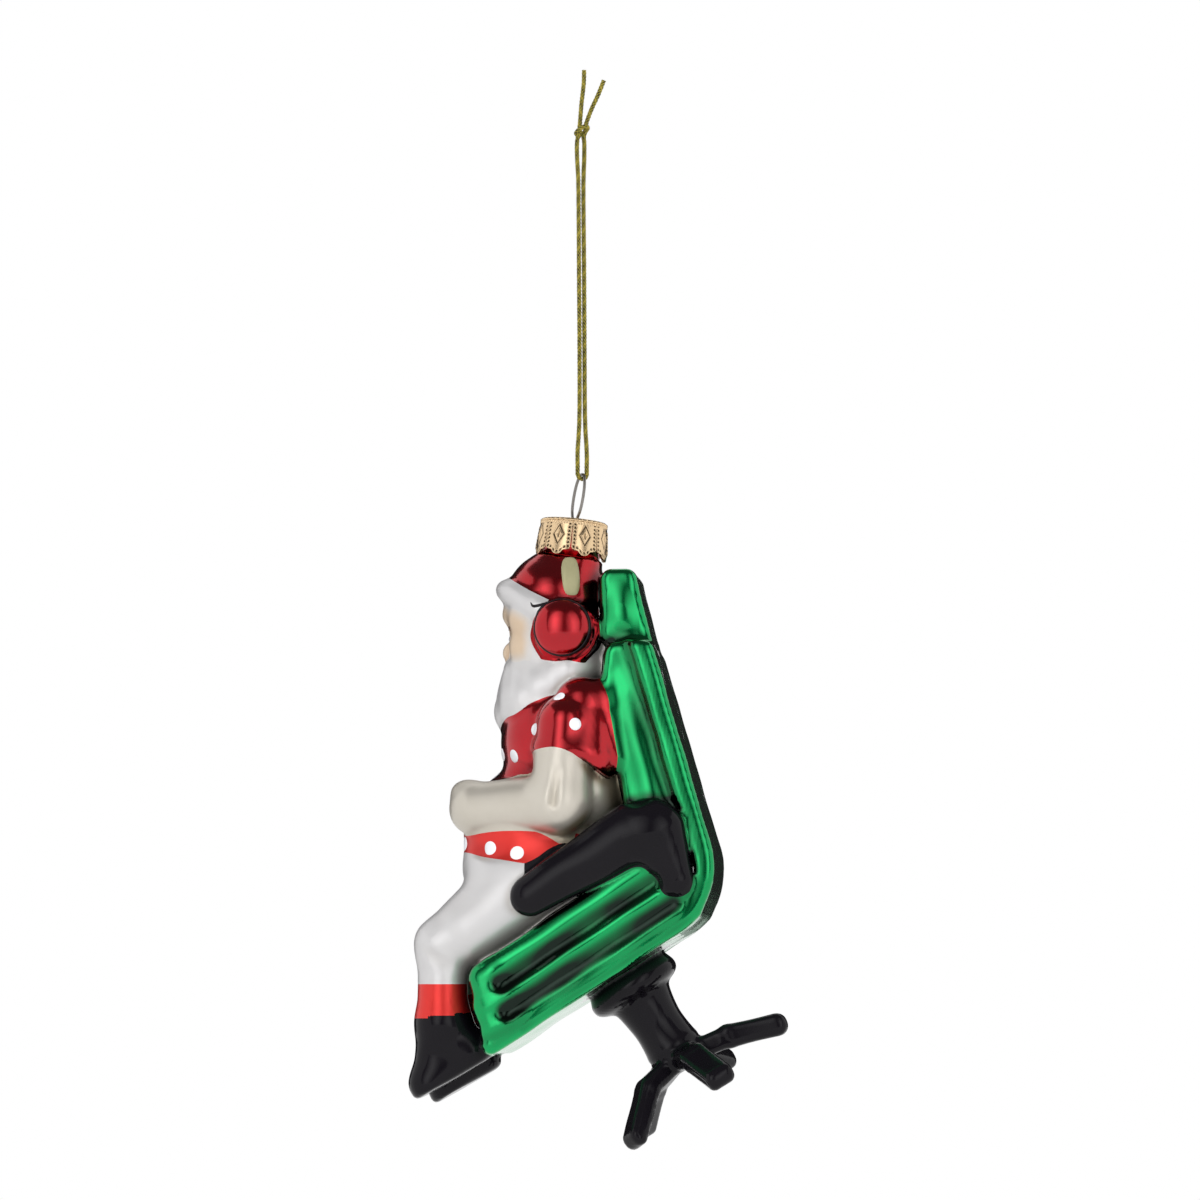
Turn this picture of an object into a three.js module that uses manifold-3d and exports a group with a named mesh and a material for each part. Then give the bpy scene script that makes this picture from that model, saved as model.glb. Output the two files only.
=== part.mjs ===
// A blown-glass tree ornament: Santa with headphones in a swivel chair.
// It hangs by a capped neck, a wire eye and a cord.
// Millimetres, +Z up. The figure faces -Y and hangs as it does on a branch.
// The origin is under the cord's knot.
// The blown shell is one piece of glass whose zones have their own lacquer. Each zone is a mesh here.
import * as THREE from "three";
import { mergeVertices } from "three/addons/utils/BufferGeometryUtils.js";
import Module from "manifold-3d";

const wasm = await Module();
wasm.setup();

// Sizes that the whole ornament shares
const seam = 0.3; // gap between neighbouring pieces
const glassWall = 1.0; // thickness of the blown shell
const facets = 14; // sides of a large round form
const smallFacets = 8; // sides of a small round form
const hollowShare = 0.45; // a hollow has fewer sides than the form around it
const reach = 400; // size of a block that stands for a half space
const detail = 0.09; // shape detail below this size is left out

// Cord
const cordRadius = 0.5;
const cordSides = 8;
const strandLength = 68.6; // from the knot down to the bight
const tailLength = 13; // free ends above the knot
const bightRadius = 0.95; // centre line of the turn through the wire eye
const bightArm = 1.35; // straight run above that turn
const knotHeight = 2.8;
const knotRadius = 1.45;

// Wire hanger
const wireRadius = 0.3;
const eyeHeight = 9.9; // from the cap's top to the eye's top
const eyeHalfWidth = 2.0;
const legSpacing = 1.7; // between the two holes in the cap
const legStraight = 3.2; // straight run below the cap's top
const legDepth = 13.5;
const legSpread = 4.3; // half the distance between the sprung tips
const hangerTurn = THREE.MathUtils.degToRad(35); // turn of the eye's plane from X towards Y

// Cap
const capTopRadius = 6.75;
const capHemRadius = 7.5;
const capHeight = 7.6;
const capSheet = 0.4;
const capPetals = 8;
const petalSlit = 0.5;
const petalSlitTop = 1.7; // below the cap's top
const petalScallop = 1.9;
const holeRadius = 0.5;

// Neck, in a frame whose origin is the centre of the cap's top
const neckLean = THREE.MathUtils.degToRad(5.5);
const capTop = new THREE.Vector3(0, -1.6, -80.5);
const neckRadius = 5.9;
const neckBore = 4.95;
const neckRimTop = capSheet + seam;
const neckFoot = 7.4; // below the cap's top
const neckBoreFoot = 17;

// Head
const skullCentre = [0, -4.2, -102.9];
const skullRadii = [8.6, 9.0, 11.6];
const hatCentre = [0, -5.5, -96.5];
const hatRadii = [9.2, 9.6, 9.2];
const hatCollarRadius = 6.5;
const hatCollarFoot = 16;
const brimCentre = [0, -5.8, -100.6];
const brimRadius = 10.4;
const brimTube = 2.2;
const brimSideShare = 0.93; // the ring is narrower from side to side
const brimDepthShare = 1.07;
const brimTilt = THREE.MathUtils.degToRad(32);
const hairCentre = [0, -1.2, -106.6];
const hairRadii = [8.6, 7.1, 7.6];
const earY = -2.4;
const earZ = -104.1;
const earPadRadius = 6.5;
const earPadIn = 7.4;
const earPadOut = 10.6;
const earCupRadius = 5.1;
const earCupOut = 12.9;
const bandWidth = 3.6;
const bandCentreY = -1.4;
const bandBottom = -97.4;
const bandTop = -89.4;
const bandThickness = 0.45;
const faceCentre = [0, -10.4, -105];
const faceRadii = [7.0, 4.6, 7.2];
const browCentre = [0, -12.6, -100];
const browRadii = [5.6, 3.3, 3.0];
const cheekCentre = [3.6, -12.3, -107.3];
const cheekRadius = 2.9;
const noseCentre = [0, -15.0, -106.9];
const noseRadius = 1.6;
const moustacheCentre = [2.5, -13.7, -110.1];
const moustacheRadii = [3.1, 2.0, 1.5];
const moustacheDrop = THREE.MathUtils.degToRad(14);
const beardCentre = [0, -7.4, -114.6];
const beardRadii = [8.6, 9.2, 7.2];
const beardTilt = THREE.MathUtils.degToRad(30);
const beardTop = [0, -9.5, -113.6];
const beardTip = [0, -13.4, -119.9];
const beardTopRadius = 7.0;
const beardTipRadius = 4.8;

// Torso and arms
const chestCentre = [0, -5.2, -125.3];
const chestRadii = [12.3, 11.4, 12.6];
const bellyCentre = [0, -10.2, -144.7];
const bellyRadii = [13.2, 13.9, 13.9];
const backCentre = [0, 1.8, -136];
const backRadii = [12.8, 7.2, 10];
const hemFront = [0, -24.3, -148.9]; // a point on the shirt's lower edge
const hemSlope = THREE.MathUtils.degToRad(19);
const shirtSplit = -138.4; // height at which the forearms cross the shirt
const sleeveTop = [10.8, 1.4, -119.6];
const sleeveFoot = [11.2, -0.2, -128.4];
const sleeveTopRadius = 6.1;
const sleeveFootRadius = 8.9;
const sleeveFlatten = 0.72; // a sleeve is thinner from side to side
const cuffEdge = [0, 0, -128.6]; // a point where the sleeve's level front edge turns down
const cuffSlope = THREE.MathUtils.degToRad(41);
const shoulder = [11.4, -2.2, -123];
const elbow = [12.2, -3.0, -139.3];
const wrist = [5.0, -20.4, -139.8];
const upperArmRadius = 6.1;
const elbowRadius = 6.0;
const wristRadius = 4.9;
const handCentre = [4.2, -22.5, -139.6];
const handRadii = [4.4, 4.0, 4.8];
const thumbCentre = [3.4, -23.7, -136.2];
const thumbRadii = [2.6, 2.4, 1.9];

// Legs
const legX = 7.0;
const lapCentre = [0, -15.6, -152.4];
const lapRadii = [12.2, 8.8, 7.2];
const hip = [legX - 0.8, -12.2, -154.5];
const knee = [legX, -27.7, -167.4];
const ankle = [legX, -27.4, -182.4];
const hipRadius = 8.0;
const haunch = [legX - 0.6, -4.0, -152.2];
const kneeUnder = [legX, -21.2, -164.4];
const haunchRadius = 8.2;
const kneeUnderRadius = 6.4;
const kneeRadius = 5.3;
const shinRadius = 5.4;
const cuffTop = -175.2;
const cuffFoot = -181.4;
const sockRadius = 5.6;
const bootRadius = 5.1;
const toe = [legX + 0.5, -30.4, -194.4];
const toeRadius = 3.9;
const heel = [legX, -21.9, -188.8];
const heelRadius = 3.9;
const soleTilt = THREE.MathUtils.degToRad(-29.5);
const soleDrop = 3.2; // from the line between heel and toe down to the sole
const farFootDrop = 2.4; // the right foot hangs lower than the left

// Seat, in a frame whose origin is where the post meets the seat, Y back along the seat and Z off the seat
const chairOrigin = new THREE.Vector3(0, 8.96, -173.0);
const chairTilt = THREE.MathUtils.degToRad(32.8);
const seatTop = 16.7;
const panTop = 3.2;
const panFront = -31.6;
const seatHalfWidth = 16.4;
const rollCount = 3;
const rollOverlap = 0.7;
const rollFronts = [-30.8, -29.2, -26.2]; // front end of each roll, from the lowest up
const rollRear = 25;
const rollEdge = 1.8;
const rearCorner = 26; // where the seat's underside and the back's rear line would meet
const rearCornerFillet = 16;
const recline = Math.tan(THREE.MathUtils.degToRad(16.6));
const shellBand = 4.6;
const shellHalfWidth = 15.2;
const shellEdge = 1.5;
const shellTop = 53.5;
const backHalfWidth = 14.6;
const backFootFront = 14.2;
const backShoulder = [29.4, 52.5];
const backTopFront = [33.4, 57.6];
const backTopRear = [37.8, 54.8];
const backEdge = 2.4;

// Headrest and armrests
const headrestHalfWidth = 11.6;
const headrestEdge = 2.6;
const headrestFoot = -106.1;
const headrestTop = -91.2;
const headrestFront = 4.7;
const headrestRearFoot = 15.4;
const headrestRearTop = 11.4;
const armrestX = seatHalfWidth - 0.8; // the armrests stand over the seat's edge
const armrestFlatten = 0.68; // an armrest is thinner from side to side
const padFront = [armrestX, -9.0, -158.0];
const padRear = [armrestX, 12.4, -144.7];
const padFrontRadius = 3.5;
const padRearRadius = 5.9;
const stayTop = [armrestX, 16.4, -145.0];
const stayFoot = [armrestX, 20.2, -154.6];
const stayTopRadius = 6.0;
const stayFootRadius = 3.5;

// Pedestal and star base, in the seat's frame
const flangeRadius = 9.7;
const flangeTop = -seam;
const flangeFoot = -6.2;
const postRadius = 6.0;
const postWaist = 5.35;
const postFoot = -17.2;
const hubRadius = 5.5;
const hubFoot = -21.4;
const legCount = 5;
const armReach = 10.6;
const armThickness = 3.5;
const armHalfWidth = 2.3;
const footThickness = 4.4;
const footHalfWidth = 2.6;
const legEdge = 0.8;
const armTop = -18.1;
const armDrop = 1.8;
// Each leg was bent by hand. From the rear leg round: how far its foot reaches out, and how far it drops.
const footReaches = [22.4, 20.6, 20.8, 20.4, 20.2];
const footDrops = [3.9, 7.3, 8.3, 7.0, 3.8];

// Lacquers
const lacquer = (color, roughness, metalness) =>
  new THREE.MeshStandardMaterial({ color, roughness, metalness });
const red = lacquer(0xb3161f, 0.18, 0.75);
const scarlet = lacquer(0xd8382f, 0.4, 0.4);
const green = lacquer(0x00913f, 0.1, 0.85);
const pearl = lacquer(0xd9d7d6, 0.38, 0.45);
const cream = lacquer(0xcfc8ba, 0.38, 0.4);
const skin = lacquer(0xdcc5aa, 0.4, 0.3);
const olive = lacquer(0xb6b480, 0.45, 0.2);
const black = lacquer(0x1b191c, 0.15, 0.1);
const brass = lacquer(0xd3b078, 0.3, 0.9);
const steel = lacquer(0x8d8780, 0.35, 1.0);
const braid = lacquer(0x8a7f35, 0.6, 0.5);

// Frames
const ornament = new THREE.Group();
const figure = new THREE.Group();
const neckFrame = new THREE.Group();
neckFrame.position.copy(capTop);
neckFrame.rotation.x = -neckLean;
const chair = new THREE.Group();
chair.position.copy(chairOrigin);
chair.rotation.x = chairTilt;
ornament.add(figure, neckFrame, chair);
ornament.updateMatrixWorld(true);

// Solids from geometry

// A closed geometry as a solid, with its shared vertices merged and its flat triangles dropped.
function solid(geometry, matrix = new THREE.Matrix4()) {
  const bare = geometry.index ? geometry.toNonIndexed() : geometry.clone();
  bare.deleteAttribute("normal");
  bare.deleteAttribute("uv");
  const merged = mergeVertices(bare.applyMatrix4(matrix), 1e-4);
  const corners = merged.index.array;
  const kept = [];
  for (let i = 0; i < corners.length; i += 3) {
    const [a, b, c] = [corners[i], corners[i + 1], corners[i + 2]];
    if (a !== b && b !== c && c !== a) kept.push(a, b, c);
  }
  const vertProperties = merged.attributes.position.array;
  const mesh = { numProp: 3, vertProperties, triVerts: new Uint32Array(kept) };
  return new wasm.Manifold(new wasm.Mesh(mesh));
}

const union = (...bodies) => bodies.reduce((whole, body) => whole.add(body));
const cut = (body, ...tools) => tools.reduce((left, tool) => left.subtract(tool), body);
const mirrored = ([x, y, z], side) => [x * side, y, z];

// An ellipsoid with its poles along X, turned about X.
function ball(centre, radii, grow = 0, turn = 0, sides = facets) {
  const round = grow < 0 ? Math.round(sides * hollowShare) : sides;
  const geometry = new THREE.SphereGeometry(1, round, Math.round(round * 0.6)).rotateZ(Math.PI / 2);
  const matrix = new THREE.Matrix4().makeTranslation(...centre);
  matrix.multiply(new THREE.Matrix4().makeRotationX(turn));
  matrix.multiply(new THREE.Matrix4().makeScale(...radii.map((radius) => radius + grow)));
  return solid(geometry, matrix);
}

// A matrix that carries the Y axis to the line from start towards end.
function along(start, end) {
  const direction = new THREE.Vector3(...end).sub(new THREE.Vector3(...start)).normalize();
  const turn = new THREE.Quaternion().setFromUnitVectors(new THREE.Vector3(0, 1, 0), direction);
  return new THREE.Matrix4().compose(new THREE.Vector3(...start), turn, new THREE.Vector3(1, 1, 1));
}

// A round-ended limb that tapers from one radius to another.
function limb(start, end, startRadius, endRadius, grow = 0, sides = smallFacets) {
  const length = new THREE.Vector3(...start).distanceTo(new THREE.Vector3(...end));
  const arcSteps = 2;
  const round = grow < 0 ? Math.round(sides * hollowShare) : sides;
  const profile = [];
  for (let i = 0; i <= arcSteps; i++) {
    const angle = (Math.PI / 2) * (i / arcSteps);
    const radius = startRadius + grow;
    profile.push(new THREE.Vector2(radius * Math.sin(angle), -radius * Math.cos(angle)));
  }
  for (let i = arcSteps; i >= 0; i--) {
    const angle = (Math.PI / 2) * (i / arcSteps);
    const radius = endRadius + grow;
    profile.push(new THREE.Vector2(radius * Math.sin(angle), length + radius * Math.cos(angle)));
  }
  return solid(new THREE.LatheGeometry(profile, round), along(start, end));
}

// A turned form round the Z axis from [radius, height] points that run from the foot to the top.
function turned(points, sides = facets) {
  const profile = points.map(([radius, height]) => new THREE.Vector2(radius, height));
  return solid(new THREE.LatheGeometry(profile, sides).rotateX(Math.PI / 2));
}

// Where the lines through a-b and c-d cross.
function crossing(a, b, c, d) {
  const [rx, ry, sx, sy] = [b[0] - a[0], b[1] - a[1], d[0] - c[0], d[1] - c[1]];
  const t = ((c[0] - a[0]) * sy - (c[1] - a[1]) * sx) / (rx * sy - ry * sx);
  return [a[0] + t * rx, a[1] + t * ry];
}

// A convex outline of [y, z, fillet] corners, counterclockwise, moved out by a distance.
// Its fillets are arcs.
function outline(corners, outwards) {
  const count = corners.length;
  const edges = corners.map(([y, z], i) => {
    const [nextY, nextZ] = corners[(i + 1) % count];
    const length = Math.hypot(nextY - y, nextZ - z);
    const [ny, nz] = [(outwards * (nextZ - z)) / length, (-outwards * (nextY - y)) / length];
    return [[y + ny, z + nz], [nextY + ny, nextZ + nz]];
  });
  const sharp = edges.map((edge, i) => crossing(...edges[(i + count - 1) % count], ...edge));
  const points = [];
  sharp.forEach((corner, i) => {
    const before = new THREE.Vector2(...sharp[(i + count - 1) % count]).sub(new THREE.Vector2(...corner));
    const after = new THREE.Vector2(...sharp[(i + 1) % count]).sub(new THREE.Vector2(...corner));
    const half = before.angleTo(after) / 2;
    const widest = 0.45 * Math.min(before.length(), after.length()) * Math.tan(half);
    const radius = Math.min(Math.max(corners[i][2] + outwards, 0.15), widest);
    before.normalize();
    after.normalize();
    if (corners[i][2] === 0) {
      points.push(new THREE.Vector2(...corner));
      return;
    }
    const middle = before.clone().add(after).normalize().multiplyScalar(radius / Math.sin(half));
    const centre = middle.add(new THREE.Vector2(...corner));
    const tangent = before.clone().multiplyScalar(radius / Math.tan(half));
    const first = tangent.add(new THREE.Vector2(...corner)).sub(centre);
    const sweep = Math.PI - 2 * half;
    const steps = Math.max(1, Math.round(sweep / 0.45));
    for (let k = 0; k <= steps; k++) {
      points.push(first.clone().rotateAround(new THREE.Vector2(), (sweep * k) / steps).add(centre));
    }
  });
  return points;
}

// A slab with rounded edges: a convex outline in Y and Z that runs from -halfWidth to halfWidth along X.
function slab(corners, halfWidth, edge, grow = 0) {
  const depth = 2 * (halfWidth + grow - edge);
  const shape = new THREE.Shape(outline(corners, grow - edge));
  const options = { depth, bevelThickness: edge, bevelSize: edge, bevelSegments: 2, steps: 1 };
  const geometry = new THREE.ExtrudeGeometry(shape, options).translate(0, 0, -depth / 2);
  return solid(geometry.rotateX(Math.PI / 2).rotateZ(Math.PI / 2));
}

// A round tube along a curve.
function tube(points, radius, steps, sides = cordSides) {
  const curve = new THREE.CatmullRomCurve3(points, false, "centripetal");
  const section = new THREE.Shape();
  for (let i = 0; i < sides; i++) {
    const angle = (2 * Math.PI * i) / sides;
    const corner = [radius * Math.cos(angle), radius * Math.sin(angle)];
    if (i) section.lineTo(...corner);
    else section.moveTo(...corner);
  }
  return solid(new THREE.ExtrudeGeometry(section, { steps, extrudePath: curve, bevelEnabled: false }));
}

// The half space on the side of a point that a direction shows, as a large block.
function halfSpace(point, direction) {
  const normal = new THREE.Vector3(...direction).normalize();
  const turn = new THREE.Quaternion().setFromUnitVectors(new THREE.Vector3(0, 0, 1), normal);
  const centre = normal.multiplyScalar(reach / 2).add(new THREE.Vector3(...point));
  const matrix = new THREE.Matrix4().compose(centre, turn, new THREE.Vector3(1, 1, 1));
  return solid(new THREE.BoxGeometry(reach, reach, reach), matrix);
}

// The half space above a plane that falls towards +Y by a slope, lowered by a drop.
function above([x, y, z], slope, drop = 0) {
  return halfSpace([x, y, z - drop], [0, Math.sin(slope), Math.cos(slope)]);
}

const inNeck = (body) => body.transform(neckFrame.matrixWorld.elements);
const inChair = (body) => body.transform(chair.matrixWorld.elements);
const box = (low, high) => {
  const size = high.map((value, i) => value - low[i]);
  const middle = high.map((value, i) => (value + low[i]) / 2);
  return solid(new THREE.BoxGeometry(...size).translate(...middle));
};

// The largest part of a solid that a cut has left in several.
function largest(body) {
  const parts = body.decompose().sort((a, b) => b.volume() - a.volume());
  return parts[0];
}

// Adds a solid in world space to a group, as a mesh at its own centre.
function place(group, name, body, material) {
  const local = largest(body.simplify(detail)).transform(group.matrixWorld.clone().invert().elements);
  const { vertProperties, triVerts, numProp } = local.getMesh();
  const position = new Float32Array((vertProperties.length / numProp) * 3);
  for (let i = 0; i < position.length / 3; i++) {
    position.set(vertProperties.subarray(i * numProp, i * numProp + 3), i * 3);
  }
  const geometry = new THREE.BufferGeometry();
  geometry.setAttribute("position", new THREE.BufferAttribute(position, 3));
  geometry.setIndex(new THREE.BufferAttribute(new Uint32Array(triVerts), 1));
  geometry.computeBoundingBox();
  const centre = geometry.boundingBox.getCenter(new THREE.Vector3());
  geometry.translate(-centre.x, -centre.y, -centre.z);
  geometry.computeVertexNormals();
  const mesh = new THREE.Mesh(geometry, material);
  mesh.name = name;
  mesh.position.copy(centre);
  group.add(mesh);
}

// Half spaces that bound the zones of lacquer
const brimPlane = (drop) => above(brimCentre, brimTilt, drop);
const aboveHem = (drop) => above(hemFront, hemSlope, drop);
const aboveCuff = (drop) => union(above(cuffEdge, 0, drop), above(cuffEdge, cuffSlope, drop));
const split = halfSpace([0, 0, shirtSplit], [0, 0, 1]);
const splitLow = halfSpace([0, 0, shirtSplit - seam], [0, 0, -1]);

// Forms of the blown shell. Each takes a distance to grow by, negative for the hollow inside it.
const forms = {
  skull: (grow) => ball(skullCentre, skullRadii, grow),
  hat: (grow) =>
    union(
      ball(hatCentre, hatRadii, grow),
      inNeck(turned([[0, -hatCollarFoot], [hatCollarRadius + 1.4 + grow, -hatCollarFoot],
        [hatCollarRadius + grow, -neckFoot - 2], [hatCollarRadius + grow, -neckFoot - seam],
        [0, -neckFoot - seam]])),
    ),
  hair: (grow) => ball(hairCentre, hairRadii, grow),
  brim: (grow) => {
    const ring = new THREE.TorusGeometry(brimRadius, brimTube + grow, 8, 20);
    ring.scale(brimSideShare, brimDepthShare, 1);
    return solid(ring.rotateX(-brimTilt).translate(...brimCentre));
  },
  beard: (grow) =>
    union(
      ball(beardCentre, beardRadii, grow, beardTilt),
      limb(beardTop, beardTip, beardTopRadius, beardTipRadius, grow),
    ),
  chest: (grow) => ball(chestCentre, chestRadii, grow),
  belly: (grow) => ball(bellyCentre, bellyRadii, grow),
  back: (grow) => ball(backCentre, backRadii, grow),
  lap: (grow) => cut(ball(lapCentre, lapRadii, grow), aboveHem(0)),
};

const face = (grow) =>
  union(
    ball(faceCentre, faceRadii, grow, 0, smallFacets + 2),
    ball(browCentre, browRadii, grow, 0, smallFacets + 2),
    ...[-1, 1].map((side) => ball(mirrored(cheekCentre, side),
      [cheekRadius, cheekRadius, cheekRadius], grow, 0, smallFacets)),
  );
const nose = (grow) => ball(noseCentre, [noseRadius, noseRadius, noseRadius], grow, 0, 10);
const moustache = (grow) =>
  union(
    ...[-1, 1].map((side) => {
      const half = ball([0, 0, 0], moustacheRadii, grow, 0, smallFacets);
      const matrix = new THREE.Matrix4().makeRotationY(side * moustacheDrop);
      matrix.setPosition(...mirrored(moustacheCentre, side));
      return half.transform(matrix.elements);
    }),
  );
const flattened = (body, x, share) => body.translate([-x, 0, 0]).scale([share, 1, 1]).translate([x, 0, 0]);
const sleeve = (side, grow) =>
  flattened(
    limb(mirrored(sleeveTop, side), mirrored(sleeveFoot, side), sleeveTopRadius, sleeveFootRadius, grow, facets),
    side * sleeveTop[0], sleeveFlatten);
const arm = (side, grow) =>
  union(
    limb(mirrored(shoulder, side), mirrored(elbow, side), upperArmRadius, elbowRadius, grow, smallFacets + 2),
    limb(mirrored(elbow, side), mirrored(wrist, side), elbowRadius, wristRadius, grow, smallFacets + 2),
    ball(mirrored(handCentre, side), handRadii, grow, 0, smallFacets),
    ball(mirrored(thumbCentre, side), thumbRadii, grow, 0, smallFacets),
  );
const lowered = ([x, y, z], side) => [x * side, y, side < 0 ? z - farFootDrop : z];
const thigh = (side, grow) =>
  union(
    limb(mirrored(hip, side), lowered(knee, side), hipRadius, kneeRadius, grow, smallFacets + 2),
    limb(mirrored(haunch, side), mirrored(kneeUnder, side), haunchRadius, kneeUnderRadius, grow,
      smallFacets + 2),
  );
const soleOf = (side, drop) =>
  [toe[0] * side, (toe[1] + heel[1]) / 2, (toe[2] + heel[2]) / 2 - drop - soleDrop];
const foot = (side, grow) => {
  const top = lowered([ankle[0], ankle[1], cuffFoot - 2], side);
  return union(
    limb(top, lowered(toe, side), bootRadius, toeRadius, grow),
    limb(top, lowered(heel, side), bootRadius, heelRadius, grow),
    limb(lowered(toe, side), lowered(heel, side), toeRadius, heelRadius, grow),
  );
};
const shin = (side, grow) =>
  limb(lowered(knee, side), lowered(ankle, side), kneeRadius, shinRadius, grow, smallFacets + 2);
const pad = (side, grow) => turned([[0, earPadIn - grow], [earPadRadius - 0.8 + grow, earPadIn - grow],
  [earPadRadius + grow, earPadIn + 1.2], [earPadRadius + grow, earPadOut - 1.2],
  [earPadRadius - 1.0 + grow, earPadOut + grow], [0, earPadOut + grow]], facets + 2)
  .rotate([0, side * 90, 0]).translate([0, earY, earZ]);
const cup = (side, grow) => ball([side * (earPadOut - 0.8), earY, earZ],
  [earCupOut - earPadOut + 0.8, earCupRadius, earCupRadius], grow, 0, facets)
  .intersect(halfSpace([side * (earPadOut - 1.2 - Math.max(grow, 0)), 0, 0], [side, 0, 0]));

// Chair forms, in world space
const rearLine = (height) => rearCorner + recline * height;
const roll = (index, grow) => {
  const pitch = (seatTop - panTop - seam) / rollCount;
  const foot = panTop + seam + index * pitch;
  const top = foot + pitch + (index < rollCount - 1 ? rollOverlap : 0);
  const front = rollFronts[index];
  return slab([[front, foot, 2.2], [rollRear, foot, 0], [rollRear, top, 0], [front + 1.2, top, 2.4]],
    seatHalfWidth, rollEdge, grow);
};
const seat = (grow) => inChair(union(...[0, 1, 2].map((index) => roll(index, grow))));
const shellForm = (grow, halfWidth) => {
  const top = shellTop + 4;
  const outer = slab([[panFront, 0, 1.4], [rearCorner, 0, rearCornerFillet], [rearLine(top), top, 1.4],
    [rearLine(top) - shellBand, top, 1.4], [panFront + 0.6, panTop, 1.2]], halfWidth, shellEdge, grow);
  const past = 8; // the inner block runs this far past the shell
  const inner = slab([[panFront - past, panTop, 0],
    [rearLine(panTop) - shellBand, panTop, rearCornerFillet - shellBand],
    [rearLine(top + past) - shellBand, top + past, 0],
    [panFront - past, top + past, 0]], halfWidth + past, shellEdge, -grow);
  return inChair(cut(outer, inner));
};
const belowHeadrest = (drop) => halfSpace([0, 0, headrestFoot - drop], [0, 0, -1]);
const shell = (grow) => shellForm(grow, shellHalfWidth).intersect(belowHeadrest(seam - grow));
const shellPath = (grow) => shellForm(grow, shellHalfWidth + 4);
const back = (grow) => inChair(slab([[backFootFront, seatTop + seam, 0],
  [rearLine(seatTop) - shellBand, seatTop + seam, 0],
  [...backTopRear, 1.5], [...backTopFront, 3.5], [...backShoulder, 3.5]], backHalfWidth, backEdge, grow));
const headrest = (grow) => slab([[headrestFront, headrestFoot, 2.8], [headrestRearFoot, headrestFoot, 2.8],
  [headrestRearTop, headrestTop, 3.0], [headrestFront - 0.2, headrestTop, 3.0]],
  headrestHalfWidth, headrestEdge, grow);
const armrest = (side, grow) => {
  const rounds = union(
    limb(mirrored(padFront, side), mirrored(padRear, side), padFrontRadius, padRearRadius, grow,
      smallFacets + 2),
    limb(mirrored(stayTop, side), mirrored(stayFoot, side), stayTopRadius, stayFootRadius, grow,
      smallFacets + 2),
  );
  return flattened(rounds, side * armrestX, armrestFlatten);
};

// The hollow that the glassblower leaves, open at the neck
const inset = -glassWall;
const neckHollow = inNeck(turned([[0, -neckBoreFoot], [neckBore, -neckBoreFoot], [neckBore, 2], [0, 2]]));
const postHollow = inChair(turned([[0, postFoot - 1], [postWaist - glassWall, postFoot - 1],
  [postWaist - glassWall, panTop + 2], [0, panTop + 2]], smallFacets));
const seatHollow = inChair(union(
  slab([[panFront + 2.6, glassWall, 1], [rearCorner - 11, glassWall, 1], [rearCorner - 5, 2.9, 1],
    [rearCorner - 0.5, 6.4, 1], [rearCorner + 2.5, 12.5, 1], [rearLine(seatTop) - 1.6, seatTop, 1],
    [rollFronts[2] + 3.2, seatTop - glassWall, 1],
    [panFront + 3.2, seatTop / 2, 1]], seatHalfWidth - 2, 0.6, 0),
  slab([[backFootFront + 2.4, seatTop - 4, 1], [rearLine(seatTop) - 1, seatTop - 4, 1],
    [rearLine(shellTop) - 1.2, shellTop - 1, 1],
    [backTopFront[0] + 0.6, backTopFront[1] - 2.4, 1], [backShoulder[0] + 1.6, backShoulder[1] - 1, 1]],
    backHalfWidth - 1.8, 0.6, 0),
));
const headrestPassage = box([-6, headrestFront + 3, headrestFoot - 5],
  [6, headrestRearFoot - 4, headrestFoot + 4]);
const bootHollow = (side) => {
  const drop = side < 0 ? farFootDrop : 0;
  const aboveSole = halfSpace(soleOf(side, drop - glassWall), [0, Math.sin(soleTilt), Math.cos(soleTilt)]);
  return foot(side, inset).intersect(aboveSole);
};
const hollow = union(neckHollow, postHollow, seatHollow, headrestPassage, headrest(inset),
  ...[-1, 1].flatMap((side) => [thigh(side, inset), shin(side, inset), bootHollow(side), armrest(side, inset),
    sleeve(side, inset).intersect(aboveCuff(0)), cut(arm(side, inset), aboveCuff(0))]),
  ...Object.entries(forms).filter(([name]) => name !== "brim").map(([, form]) => form(inset)));

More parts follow.
